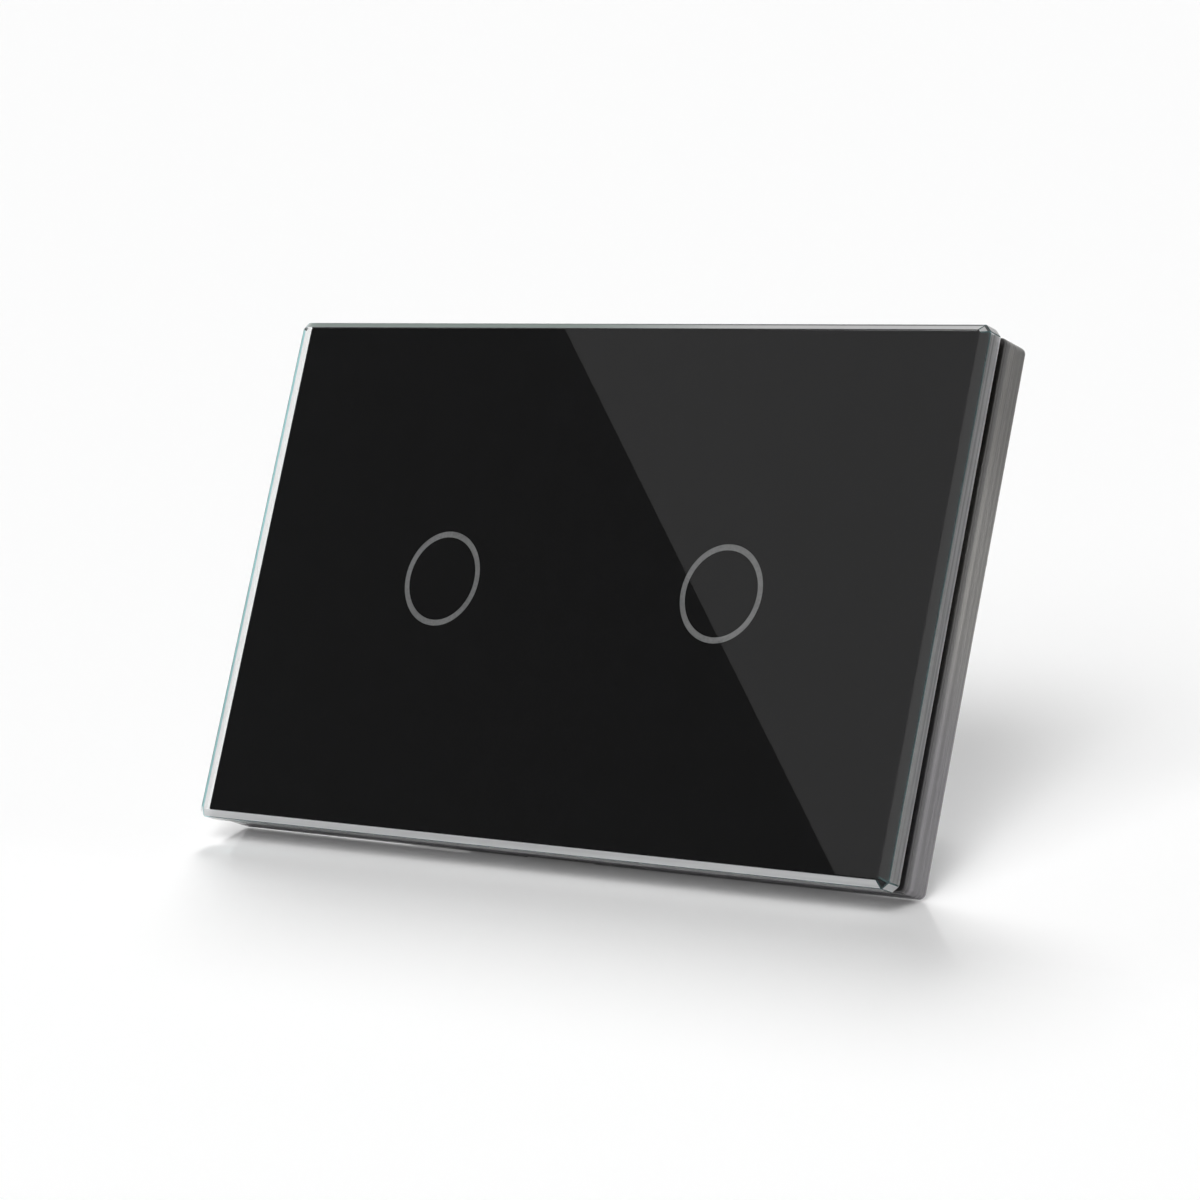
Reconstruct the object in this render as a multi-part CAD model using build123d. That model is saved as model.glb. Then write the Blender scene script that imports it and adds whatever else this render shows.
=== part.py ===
from build123d import *
import math
import os

os.makedirs("parts", exist_ok=True)

# The wall is the plane y = 0. The glass faces -Y, +X is right as seen from the room, +Z is up.
# The origin is midway between the two fixing slots, on the wall. Lengths are in millimetres.

# Cuts run past the faces that they open
cut_overrun = 1.0
quarter_turn = 90

# Glass panel
face_width = 118.0
face_height = 72.0
glass_thickness = 3.5
glass_bevel = 1.0
glass_corner_cut = 0.9
glass_arris = 0.2

# Print on the back of the glass, with a ring window over each touch key
print_thickness = 0.15
print_side_inset = 0.75
print_top_inset = 0.5
print_corner_cut = 0.2
ring_edge_distance = 10.4
ring_outer_radius = 6.6
ring_band = 0.8

# Foam tape between the print and the frame, set back to leave a dark seam
tape_thickness = 1.5
tape_inset = 1.8

# Frame behind the glass
frame_depth = 5.0
frame_inset = 0.4
frame_corner_radius = 0.9
frame_inner_radius = 0.6
frame_wall = 1.6
frame_lip = 1.4
frame_lip_width = 6.0
frame_rear_round = 0.6
frame_front_round = 0.3
pry_notch_width = 12.0
pry_notch_depth = 1.2

# Snap hooks on the frame and the noses that they pass
hook_spread = 28.0
hook_width = 8.0
hook_thickness = 2.0
hook_root = 0.6
hook_end_gap = 0.3
barb_reach = 0.5
nose_reach = 0.6
nose_depth = 0.7
snap_clearance = 0.1

# Steel strap that the wall screws hold
strap_edge_gap = 5.5
strap_thickness = 1.2
strap_corner_radius = 4.0
strap_gap = 0.5
slot_width = 4.2
slot_length = 8.0

# Rear housing
body_wall = 1.6
body_corner_radius = 2.0
body_inner_radius = 1.0
body_rear_round = 0.8
flange_reach = 4.0
flange_thickness = 1.5
flange_corner_radius = 1.5
plate_recess_margin = 10.0
plate_recess_height = 13.0
plate_recess_depth = 0.3
plate_recess_radius = 1.0

# Cover over the touch board
cover_gap = 0.3
cover_plate = 1.0
cover_wall = 1.2
cover_edge_round = 0.4
cover_peg_radius = 1.2
key_hole_gap = 0.3

# Screws that clamp cover and housing to the strap
cover_screw_edge_distance = 6.0
cover_screw_radius = 1.0
cover_screw_head_radius = 1.7
cover_screw_head = 0.9
cover_boss_wall = 0.75
screw_hole_gap = 0.15
thread_gap = 0.02
screw_slot_width = 0.5
screw_slot_share = 0.55

# Touch board and what it carries
touch_board_thickness = 1.2
board_edge_gap = 0.4
light_gap = 0.05
light_foot_reach = 1.2
light_foot_inner_reach = 0.4
led_length = 1.6
led_width = 0.8
led_height = 0.6
led_gap = 0.15
leds_per_ring = 4
foam_gap = 0.1
foam_side_gap = 0.4
touch_chip_length = 10.0
touch_chip_width = 4.4
touch_chip_height = 1.5
touch_chip_notch = 0.5
touch_chip_x_share = 0.35
touch_chip_z_share = 0.4

# Board to board header
pin_count = 6
pin_pitch = 2.54
pin_thickness = 0.6
pin_gap = 0.05
pin_stub = 0.6
header_width = 2.5
header_base = 1.5
header_mating_gap = 0.1
pin_end_gap = 0.3

# Power board and its screws
power_board_set_back = 1.4
power_board_thickness = 1.6
post_radius = 2.2
post_edge_distance = 3.0
board_screw_radius = 1.0
board_screw_head_radius = 2.0
board_screw_head = 1.3
board_screw_length = 7.0
board_hole_gap = 0.2

# Terminals
terminal_count = 3
terminal_pitch = 9.5
block_gap = 0.2
block_rear_gap = 0.3
block_wall = 2.0
block_side_wall = 1.2
block_back_wall = 1.6
block_deck = 1.6
driver_window = 6.4
driver_recess = 6.0
driver_recess_depth = 3.8
wire_hole_radius = 1.9
wire_lead_radius = 1.6
cage_width = 7.0
cage_length = 5.5
cage_wall = 0.8
cage_floor = 1.0
cage_head = 2.0
cage_side_gap = 0.3
cage_standoff = 2.0
wire_room = 3.2
bar_thickness = 0.8
bar_gap = 1.0
bar_side_gap = 0.3
bar_tail = 0.5
clamp_travel = 2.4
clamp_screw_radius = 1.7
clamp_screw_clearance = 0.05
clamp_head_radius = 2.6
clamp_head = 2.0
clamp_slot_width = 0.8
clamp_slot_depth = 1.1
deck_hole_gap = 0.3

# Relays
relay_width = 19.0
relay_length_share = 0.51
relay_middle_gap = 4.0
relay_post_gap = 3.8
relay_rear_gap = 2.9
relay_edge_distance = 2.0
relay_case_wall = 0.8
relay_fit = 0.1
relay_base = 1.5
bobbin_gap = 1.4
bobbin_flange = 0.8
winding_share = 0.88
barrel_share = 0.52
core_share = 0.36
core_gap = 0.1
core_fit = 0.05
pole_share = 0.5
pole_height = 0.45
yoke_thickness = 1.0
yoke_width_share = 0.68
yoke_foot = 0.7
armature_gap = 0.45
armature_thickness = 1.0
armature_rest_gap = 0.1
blade_thickness = 0.3
blade_width_share = 0.33
blade_room = 1.7
contact_radius = 1.2
contact_height = 0.6
contact_opening = 0.62
contact_post_thickness = 1.0
contact_post_width_share = 0.3
contact_edge_distance = 1.7

# Supply parts on the power board
row_gap = 0.6
film_capacitor_length = 13.0
film_capacitor_width = 5.0
film_capacitor_height = 11.0
film_capacitor_round = 0.6
can_radius_share = 0.28
can_height = 12.0
can_round = 0.5
can_groove = 0.3
can_groove_width = 0.8
can_groove_height = 1.6
fuse_radius_share = 0.28
fuse_height = 8.0
fuse_round = 0.5
varistor_radius = 3.8
varistor_thickness = 3.2
varistor_standoff = 0.6
rectifier_length_share = 0.59
rectifier_width = 5.6
rectifier_height = 3.2
rectifier_chamfer = 0.8
core_length = 11.0
core_limb = 2.2
core_height = 10.0
coil_side_gap = 0.2
coil_swell = 0.8
choke_radius = 3.2
choke_height = 9.0
choke_flange = 1.0
choke_waist = 0.7
supply_gap = 0.6

# Planes across the depth, from the wall to the glass
strap_front = -strap_thickness
flange_front = strap_front - flange_thickness
touch_front = flange_front - touch_board_thickness
frame_front = -frame_depth
print_back = frame_front - tape_thickness
glass_back = print_back - print_thickness
glass_front = glass_back - glass_thickness
cover_front = print_back + cover_gap
cover_inside = cover_front + cover_plate

# Planes behind the wall, through the terminals to the back of the housing
power_front = power_board_set_back
power_back = power_front + power_board_thickness
cage_low = power_back + cage_standoff
wire_low = cage_low + cage_floor
bar_low = wire_low + wire_room
bar_high = bar_low + bar_thickness
cage_head_low = bar_high + bar_gap
cage_high = cage_head_low + cage_head
cell_top = cage_high + clamp_travel + cage_side_gap
deck_top = cell_top + block_deck
block_top = deck_top + driver_recess_depth
body_inside = block_top + block_rear_gap
body_depth = body_inside + body_wall
wire_y = (wire_low + bar_low) / 2
hook_end = strap_front - hook_end_gap

# Half widths, outwards from the relays to the housing and inwards from the face to the strap
post_x = relay_middle_gap / 2 + relay_width + relay_post_gap + post_radius
board_half_x = post_x + post_edge_distance
cavity_half_x = board_half_x + board_edge_gap
body_half_x = cavity_half_x + body_wall
flange_half_x = body_half_x + flange_reach
strap_open_half_x = body_half_x + strap_gap
frame_half_x = face_width / 2 - frame_inset
frame_window_half_x = frame_half_x - frame_lip_width
strap_half_x = frame_half_x - frame_wall - strap_edge_gap
slot_x = (strap_open_half_x + strap_half_x) / 2
cover_screw_x = flange_half_x - cover_screw_edge_distance
touch_half_x = flange_half_x - cover_wall - board_edge_gap
ring_x = touch_half_x - ring_edge_distance
ring_inner_radius = ring_outer_radius - ring_band

# Half heights, inwards from the face through the hooks to the housing
frame_half_z = face_height / 2 - frame_inset
frame_window_half_z = frame_half_z - frame_lip_width
strap_half_z = frame_half_z - frame_wall - strap_edge_gap
hook_outer = frame_window_half_z + hook_root
hook_inner = hook_outer - hook_thickness
barb_tip = hook_inner - barb_reach
nose_tip = barb_tip - snap_clearance
flange_half_z = nose_tip - nose_reach
body_half_z = flange_half_z - flange_reach
cavity_half_z = body_half_z - body_wall
board_half_z = cavity_half_z - board_edge_gap
post_z = board_half_z - post_edge_distance
strap_open_half_z = body_half_z + strap_gap
cover_screw_z = (strap_open_half_z + flange_half_z) / 2
cover_boss_radius = cover_screw_radius + screw_hole_gap + cover_boss_wall
touch_half_z = cover_screw_z - cover_boss_radius - board_edge_gap / 2
header_x = 0
header_half_z = pin_count * pin_pitch / 2

# Terminal cells along the bottom of the housing
cell_half_x = cage_width / 2 + cage_side_gap
cell_half_z = cage_length / 2 + cage_side_gap
block_low_z = -cavity_half_z + block_gap
clamp_z = block_low_z + block_wall + cell_half_z
leg_low_z = clamp_z + cell_half_z + bar_side_gap
leg_high_z = leg_low_z + bar_thickness
block_high_z = leg_high_z + pin_gap + block_back_wall
block_half_x = terminal_pitch * (terminal_count - 1) / 2 + cell_half_x + block_side_wall
bar_half_x = cage_width / 2 - cage_wall - bar_side_gap


def block(x_low, x_high, y_low, y_high, z_low, z_high):
    """Box between two corners."""
    size = Box(x_high - x_low, y_high - y_low, z_high - z_low)
    return Pos((x_low + x_high) / 2, (y_low + y_high) / 2, (z_low + z_high) / 2) * size


def slab(outline, y_low, y_high):
    """Prism of an outline drawn in X and Z, between two planes across the depth."""
    return extrude(Plane.XZ.offset(-y_high) * outline, amount=y_high - y_low)


def rod(x, z, y_low, y_high, radius):
    """Round bar along the depth."""
    turned = Rot(quarter_turn, 0, 0) * Cylinder(radius, y_high - y_low)
    return Pos(x, (y_low + y_high) / 2, z) * turned


def upright(x, y, z_low, z_high, radius):
    """Round bar along Z."""
    return Pos(x, y, (z_low + z_high) / 2) * Cylinder(radius, z_high - z_low)


def front_edges(solid):
    """Edges of the face nearest the room."""
    return solid.faces().sort_by(Axis.Y)[0].edges()


def rear_edges(solid):
    """Edges of the face deepest in the wall."""
    return solid.faces().sort_by(Axis.Y)[-1].edges()


def corners(x, z):
    """The four places that mirror one another about the middle."""
    return [(side * x, level * z) for side in (-1, 1) for level in (-1, 1)]


def cross_slot(x, z, y_low, y_high, reach, width):
    """Cross of two slots, as cut in a screw head."""
    one = block(x - reach, x + reach, y_low, y_high, z - width / 2, z + width / 2)
    other = block(x - width / 2, x + width / 2, y_low, y_high, z - reach, z + reach)
    return one + other


def make_glass_panel():
    """Plain glass plate with a 45 degree bevel round its front and cut corners."""
    outline = Rectangle(face_width, face_height)
    outline = chamfer(outline.vertices(), glass_corner_cut)
    plate = slab(outline, glass_front, glass_back)
    plate = chamfer(front_edges(plate), glass_bevel)
    return chamfer(rear_edges(plate), glass_arris)


def ring_shape(side, y_low, y_high, inner, outer):
    """Flat ring round a touch key's centre."""
    return rod(side * ring_x, 0, y_low, y_high, outer) - rod(
        side * ring_x, 0, y_low - cut_overrun, y_high + cut_overrun, inner
    )


def make_back_print():
    """Black ink over the back of the glass, open at the two ring windows."""
    outline = Rectangle(face_width - 2 * print_side_inset, face_height - 2 * print_top_inset)
    outline = chamfer(outline.vertices(), print_corner_cut)
    layer = slab(outline, glass_back, print_back)
    for side in (-1, 1):
        low, high = glass_back - cut_overrun, print_back + cut_overrun
        layer = layer - ring_shape(side, low, high, ring_inner_radius, ring_outer_radius)
    return layer


def make_foam_tape():
    """Closed loop of black foam tape that bonds the glass to the frame."""
    outer = Rectangle(face_width - 2 * tape_inset, face_height - 2 * tape_inset)
    inner = Rectangle(frame_window_half_x * 2, frame_window_half_z * 2)
    return slab(outer - inner, print_back, frame_front)


def make_hook(side, level):
    """Snap hook that reaches back from the frame's lip, with a sloped barb at its end."""
    x_low = side * hook_spread / 2 - hook_width / 2
    x_high = x_low + hook_width
    barb_front = flange_front + snap_clearance
    arm = block(x_low, x_high, frame_front, hook_end, hook_inner, hook_outer)
    points = [(barb_front, hook_inner), (barb_front, barb_tip), (hook_end, hook_inner)]
    wedge = make_face(Polyline(*[(y, z) for y, z in points], close=True))
    barb = extrude(Plane.YZ.offset(x_low) * wedge, amount=hook_width)
    hook = arm + barb
    return hook if level > 0 else mirror(hook, about=Plane.XY)


def make_panel_frame():
    """Moulded frame with a lip for the glass, a rim on the wall, four hooks and a pry notch."""
    outline = RectangleRounded(frame_half_x * 2, frame_half_z * 2, frame_corner_radius)
    frame = slab(outline, frame_front, 0)
    frame = fillet(front_edges(frame), frame_front_round)
    frame = fillet(rear_edges(frame), frame_rear_round)
    pocket_x, pocket_z = frame_half_x - frame_wall, frame_half_z - frame_wall
    pocket = RectangleRounded(pocket_x * 2, pocket_z * 2, frame_inner_radius)
    frame = frame - slab(pocket, frame_front + frame_lip, cut_overrun)
    window = Rectangle(frame_window_half_x * 2, frame_window_half_z * 2)
    frame = frame - slab(window, frame_front - cut_overrun, cut_overrun)
    for side in (-1, 1):
        for level in (-1, 1):
            frame = frame + make_hook(side, level)
    half = pry_notch_width / 2
    z_low, z_high = -frame_half_z - cut_overrun, -frame_half_z + frame_wall + cut_overrun
    return frame - block(-half, half, -pry_notch_depth, cut_overrun, z_low, z_high)


def make_mounting_strap():
    """Flat steel strap with two fixing slots, a window for the housing and four tapped holes."""
    outline = RectangleRounded(strap_half_x * 2, strap_half_z * 2, strap_corner_radius)
    strap = slab(outline, strap_front, 0)
    opening = RectangleRounded(strap_open_half_x * 2, strap_open_half_z * 2, body_corner_radius)
    strap = strap - slab(opening, strap_front - cut_overrun, cut_overrun)
    for side in (-1, 1):
        slot = Pos(side * slot_x, 0) * SlotOverall(slot_length, slot_width)
        strap = strap - slab(slot, strap_front - cut_overrun, cut_overrun)
    tapped = cover_screw_radius + thread_gap
    for x, z in corners(cover_screw_x, cover_screw_z):
        strap = strap - rod(x, z, strap_front - cut_overrun, cut_overrun, tapped)
    return strap


def terminal_x(index):
    """Centre of a terminal along the row."""
    return (index - (terminal_count - 1) / 2) * terminal_pitch


def make_rear_housing():
    """Moulded box behind the wall with a flange, board posts, wire holes and driver windows."""
    outline = RectangleRounded(body_half_x * 2, body_half_z * 2, body_corner_radius)
    body = slab(outline, strap_front, body_depth)
    body = fillet(rear_edges(body), body_rear_round)
    flange = RectangleRounded(flange_half_x * 2, flange_half_z * 2, flange_corner_radius)
    body = body + slab(flange, flange_front, strap_front)
    cavity = RectangleRounded(cavity_half_x * 2, cavity_half_z * 2, body_inner_radius)
    body = body - slab(cavity, flange_front - cut_overrun, body_inside)
    for x, z in corners(post_x, post_z):
        body = body + rod(x, z, power_back, body_inside, post_radius)
    for x, z in corners(post_x, post_z):
        pilot_end = power_front + board_screw_length + cut_overrun
        body = body - rod(x, z, power_back - cut_overrun, pilot_end, board_screw_radius + thread_gap)
    for x, z in corners(cover_screw_x, cover_screw_z):
        hole = cover_screw_radius + screw_hole_gap
        body = body - rod(x, z, flange_front - cut_overrun, strap_front + cut_overrun, hole)
    for index in range(terminal_count):
        x = terminal_x(index)
        half = driver_window / 2
        near, far = body_inside - cut_overrun, body_depth + cut_overrun
        body = body - block(x - half, x + half, near, far, clamp_z - half, clamp_z + half)
        low = -body_half_z - cut_overrun
        body = body - upright(x, wire_y, low, -cavity_half_z + cut_overrun, wire_hole_radius)
    recess_z = (clamp_z + driver_window / 2 + body_half_z) / 2
    recess_width = (body_half_x - plate_recess_margin) * 2
    recess = RectangleRounded(recess_width, plate_recess_height, plate_recess_radius)
    recess = Pos(0, recess_z) * recess
    return body - slab(recess, body_depth - plate_recess_depth, body_depth + cut_overrun)


def make_touch_cover():
    """Shallow lid over the touch board, with key holes, screw bosses, pegs and snap noses."""
    outline = RectangleRounded(flange_half_x * 2, flange_half_z * 2, flange_corner_radius)
    cover = slab(outline, cover_front, flange_front)
    cover = fillet(front_edges(cover), cover_edge_round)
    pocket = Rectangle(2 * (flange_half_x - cover_wall), 2 * (flange_half_z - cover_wall))
    cover = cover - slab(pocket, cover_inside, flange_front + cut_overrun)
    for x, z in corners(cover_screw_x, cover_screw_z):
        cover = cover + rod(x, z, cover_inside, flange_front, cover_boss_radius)
    peg_x = touch_half_x - cover_peg_radius - board_edge_gap
    for x, z in corners(peg_x, touch_half_z / 2):
        cover = cover + rod(x, z, cover_inside, touch_front, cover_peg_radius)
    for x, z in corners(cover_screw_x, cover_screw_z):
        shank = cover_screw_radius + screw_hole_gap
        cover = cover - rod(x, z, cover_front - cut_overrun, flange_front + cut_overrun, shank)
        sunk = cover_front + cover_screw_head + screw_hole_gap
        cover = cover - rod(x, z, cover_front - cut_overrun, sunk, cover_screw_head_radius + screw_hole_gap)
    for side in (-1, 1):
        hole = ring_outer_radius + key_hole_gap
        cover = cover - rod(side * ring_x, 0, cover_front - cut_overrun, cover_inside + cut_overrun, hole)
        x_low = side * hook_spread / 2 - hook_width / 2
        for level in (-1, 1):
            tip = level * nose_tip
            root = level * (flange_half_z - cover_wall / 2)
            z_low, z_high = min(tip, root), max(tip, root)
            top = flange_front - nose_depth
            cover = cover + block(x_low, x_low + hook_width, top, flange_front, z_low, z_high)
    return cover


def make_cover_screws():
    """Four screws with sunk heads, from the cover's face into the strap."""
    screws = []
    for x, z in corners(cover_screw_x, cover_screw_z):
        top = cover_front + screw_hole_gap
        under = top + cover_screw_head
        screw = rod(x, z, top, under, cover_screw_head_radius)
        screw = screw + rod(x, z, under, -thread_gap, cover_screw_radius)
        bottom = top + cover_screw_head * screw_slot_share
        reach = cover_screw_head_radius * screw_slot_share
        screw = screw - cross_slot(x, z, top - cut_overrun, bottom, reach, screw_slot_width)
        screws.append(screw)
    return Compound(children=screws)


def pin_places():
    """Heights of the header's pins."""
    return [(index - (pin_count - 1) / 2) * pin_pitch for index in range(pin_count)]


def pin_at(z, y_low, y_high, margin):
    """One square pin, or the hole for it when a margin is given."""
    half = pin_thickness / 2 + margin
    return block(header_x - half, header_x + half, y_low, y_high, z - half, z + half)


pin_end = power_front - pin_end_gap
header_base_back = flange_front + header_base


def make_touch_board():
    """Printed board that carries the touch electrodes, lamps and controller."""
    board = block(-touch_half_x, touch_half_x, touch_front, flange_front, -touch_half_z, touch_half_z)
    for z in pin_places():
        board = board - pin_at(z, touch_front - cut_overrun, flange_front + cut_overrun, pin_gap)
    return board


def make_header_base():
    """Plastic spacer of the pin header, on the back of the touch board."""
    half = header_width / 2
    low, high = header_x - half, header_x + half
    base = block(low, high, flange_front, header_base_back, -header_half_z, header_half_z)
    for z in pin_places():
        base = base - pin_at(z, flange_front - cut_overrun, header_base_back + cut_overrun, pin_gap)
    return base


def make_header_pins():
    """Square pins from the touch board into the socket."""
    return Compound(children=[pin_at(z, touch_front - pin_stub, pin_end, 0) for z in pin_places()])


def make_header_socket():
    """Socket strip on the front of the power board."""
    half = header_width / 2
    top = header_base_back + header_mating_gap
    socket = block(header_x - half, header_x + half, top, power_front, -header_half_z, header_half_z)
    for z in pin_places():
        socket = socket - pin_at(z, top - cut_overrun, pin_end + pin_gap, pin_gap)
    return socket


def led_places(side):
    """Places of one key's lamps, on the ring's middle line."""
    middle = (ring_inner_radius + ring_outer_radius) / 2
    step = 2 * math.pi / leds_per_ring
    turns = [step * (index + 1 / 2) for index in range(leds_per_ring)]
    return [(side * ring_x + middle * math.cos(turn), middle * math.sin(turn)) for turn in turns]


def led_block(x, z, margin):
    """One lamp, or the pocket for it when a margin is given."""
    half_x, half_z = led_length / 2 + margin, led_width / 2 + margin
    top = touch_front - led_height - margin
    return block(x - half_x, x + half_x, top, touch_front, z - half_z, z + half_z)


def make_light_ring(side):
    """Clear guide that brings the lamps' light up to the ring window."""
    top = print_back + light_gap
    ring = ring_shape(side, top, touch_front, ring_inner_radius, ring_outer_radius)
    foot_inner = ring_inner_radius - light_foot_inner_reach
    foot_outer = ring_outer_radius + light_foot_reach
    ring = ring + ring_shape(side, cover_inside, touch_front, foot_inner, foot_outer)
    for x, z in led_places(side):
        ring = ring - led_block(x, z, led_gap)
    return ring


def make_touch_lamps():
    """All the lamps of both keys."""
    places = led_places(-1) + led_places(1)
    return Compound(children=[led_block(x, z, 0) for x, z in places])


def make_touch_electrode(side):
    """Pad of conductive foam that carries the key's field up to the glass."""
    radius = ring_inner_radius - light_foot_inner_reach - foam_side_gap
    return rod(side * ring_x, 0, print_back + foam_gap, touch_front, radius)


def make_touch_controller():
    """Small chip on the back of the touch board."""
    x, z = cavity_half_x * touch_chip_x_share, cavity_half_z * touch_chip_z_share
    half_x, half_z = touch_chip_length / 2, touch_chip_width / 2
    back = flange_front + touch_chip_height
    chip = block(x - half_x, x + half_x, flange_front, back, z - half_z, z + half_z)
    return chip - rod(x - half_x, z, back - touch_chip_notch, back + cut_overrun, touch_chip_notch)


def leg_hole(index, y_low, y_high, margin):
    """Room for a contact bar's leg."""
    x = terminal_x(index)
    half = bar_half_x + margin
    return block(x - half, x + half, y_low, y_high, leg_low_z - margin, leg_high_z + margin)


def make_power_board():
    """Printed board for the relays, the supply and the terminals."""
    board = block(-board_half_x, board_half_x, power_front, power_back, -board_half_z, board_half_z)
    for x, z in corners(post_x, post_z):
        hole = board_screw_radius + board_hole_gap
        board = board - rod(x, z, power_front - cut_overrun, power_back + cut_overrun, hole)
    for index in range(terminal_count):
        board = board - leg_hole(index, power_front - cut_overrun, power_back + cut_overrun, pin_gap)
    return board


def make_board_screws():
    """Four pan-head screws that hold the power board on the housing's posts."""
    screws = []
    for x, z in corners(post_x, post_z):
        top = power_front - board_screw_head
        screw = rod(x, z, top, power_front, board_screw_head_radius)
        screw = screw + rod(x, z, power_front, power_front + board_screw_length, board_screw_radius)
        bottom = top + board_screw_head * screw_slot_share
        reach = board_screw_head_radius * screw_slot_share
        screw = screw - cross_slot(x, z, top - cut_overrun, bottom, reach, screw_slot_width)
        screws.append(screw)
    return Compound(children=screws)


def make_terminal_block():
    """Moulded block with a cell, a driver recess and a wire hole for each terminal."""
    body = block(-block_half_x, block_half_x, power_back, block_top, block_low_z, block_high_z)
    for index in range(terminal_count):
        x = terminal_x(index)
        cell_low, cell_high = x - cell_half_x, x + cell_half_x
        z_low, z_high = clamp_z - cell_half_z, clamp_z + cell_half_z
        body = body - block(cell_low, cell_high, power_back - cut_overrun, cell_top, z_low, z_high)
        half = driver_recess / 2
        far = block_top + cut_overrun
        body = body - block(x - half, x + half, deck_top, far, clamp_z - half, clamp_z + half)
        hole = clamp_screw_radius + deck_hole_gap
        body = body - rod(x, clamp_z, cell_top - cut_overrun, deck_top + cut_overrun, hole)
        body = body - upright(x, wire_y, block_low_z - cut_overrun, clamp_z, wire_lead_radius)
        margin = bar_half_x + pin_gap
        top = bar_high + pin_gap
        reach = leg_high_z + pin_gap
        body = body - block(x - margin, x + margin, power_back - cut_overrun, top, clamp_z, reach)
    return body


def make_contact_bars():
    """Tinned bars that the cages clamp a wire against, each with a leg into the power board."""
    bars = []
    for index in range(terminal_count):
        x = terminal_x(index)
        low, high = x - bar_half_x, x + bar_half_x
        start = clamp_z - cell_half_z + bar_side_gap
        bar = block(low, high, bar_low, bar_high, start, leg_high_z)
        leg = block(low, high, power_front - bar_tail, bar_high, leg_low_z, leg_high_z)
        bars.append(bar + leg)
    return Compound(children=bars)


def make_clamp_cage(index):
    """Rising cage with a tapped head, a window for the wire and the bar, and a floor."""
    x = terminal_x(index)
    half_x, half_z = cage_width / 2, cage_length / 2
    cage = block(x - half_x, x + half_x, cage_low, cage_high, clamp_z - half_z, clamp_z + half_z)
    inner = half_x - cage_wall
    z_low, z_high = clamp_z - half_z - cut_overrun, clamp_z + half_z + cut_overrun
    cage = cage - block(x - inner, x + inner, wire_low, cage_head_low, z_low, z_high)
    bore = clamp_screw_radius + clamp_screw_clearance
    return cage - rod(x, clamp_z, cage_head_low - cut_overrun, cage_high + cut_overrun, bore)


def make_clamp_screw(index):
    """Captive screw that turns on the block's deck and draws its cage up."""
    x = terminal_x(index)
    head_low = deck_top + clamp_screw_clearance
    head_high = head_low + clamp_head
    tip = bar_high + clamp_screw_clearance
    screw = rod(x, clamp_z, head_low, head_high, clamp_head_radius)
    screw = screw + rod(x, clamp_z, tip, head_low, clamp_screw_radius)
    half = clamp_slot_width / 2
    bottom = head_high - clamp_slot_depth
    far = head_high + cut_overrun
    reach = clamp_head_radius + cut_overrun
    return screw - block(x - reach, x + reach, bottom, far, clamp_z - half, clamp_z + half)


works_depth = board_half_z - relay_edge_distance - block_high_z
relay_length = works_depth * relay_length_share
relay_z = board_half_z - relay_edge_distance - relay_length / 2
relay_inner_half_x = relay_width / 2 - relay_case_wall - relay_fit
relay_inner_half_z = relay_length / 2 - relay_case_wall - relay_fit
relay_base_top = power_back + relay_base
yoke_foot_top = relay_base_top + yoke_foot
winding_low = yoke_foot_top + bobbin_flange
relay_top = body_inside - relay_rear_gap
blade_high = relay_top - relay_case_wall - blade_room
armature_high = blade_high - blade_thickness
armature_low = armature_high - armature_thickness
pole_top = armature_low - armature_gap
bobbin_top = pole_top - pole_height
winding_high = bobbin_top - bobbin_flange
yoke_outer = -relay_inner_half_x
yoke_inner = yoke_outer + yoke_thickness
yoke_half_z = relay_inner_half_z * yoke_width_share
contact_u = relay_inner_half_x - contact_edge_distance
moving_contact_low = armature_high - contact_height
fixed_contact_high = moving_contact_low - contact_opening
bobbin_room = min(relay_inner_half_z, contact_u - contact_post_thickness / 2)
bobbin_radius = bobbin_room - bobbin_gap
winding_radius = bobbin_radius * winding_share
barrel_radius = bobbin_radius * barrel_share
core_radius = bobbin_radius * core_share
pole_radius = bobbin_radius * pole_share


def relay_centre(side):
    """Middle of a relay across the housing."""
    return side * (relay_middle_gap + relay_width) / 2


def relay_block(side, u_low, u_high, y_low, y_high, half_z):
    """Box in a relay, with u measured from the relay's middle away from its yoke."""
    x = relay_centre(side)
    ends = sorted((x + side * u_low, x + side * u_high))
    return block(ends[0], ends[1], y_low, y_high, relay_z - half_z, relay_z + half_z)


def relay_rod(side, u, y_low, y_high, radius):
    """Round bar in a relay, with u measured as in relay_block."""
    return rod(relay_centre(side) + side * u, relay_z, y_low, y_high, radius)


def make_relay_case(side):
    """Thin lid over a relay, open towards the board."""
    half_u, half_z = relay_width / 2, relay_length / 2
    case = relay_block(side, -half_u, half_u, power_back, relay_top, half_z)
    inner_u, inner_z = half_u - relay_case_wall, half_z - relay_case_wall
    low = power_back - cut_overrun
    return case - relay_block(side, -inner_u, inner_u, low, relay_top - relay_case_wall, inner_z)


def make_relay_base(side):
    """Base plate that carries the relay's works."""
    half = relay_inner_half_x
    return relay_block(side, -half, half, power_back, relay_base_top, relay_inner_half_z)


def make_relay_yoke(side):
    """Angle of soft iron under and beside the coil."""
    foot = relay_block(side, yoke_outer, pole_radius, relay_base_top, yoke_foot_top, yoke_half_z)
    top = armature_low - armature_rest_gap
    leg = relay_block(side, yoke_outer, yoke_inner, relay_base_top, top, yoke_half_z)
    hole = core_radius + core_fit
    low, high = relay_base_top - cut_overrun, yoke_foot_top + cut_overrun
    return foot + leg - relay_rod(side, 0, low, high, hole)


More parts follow.
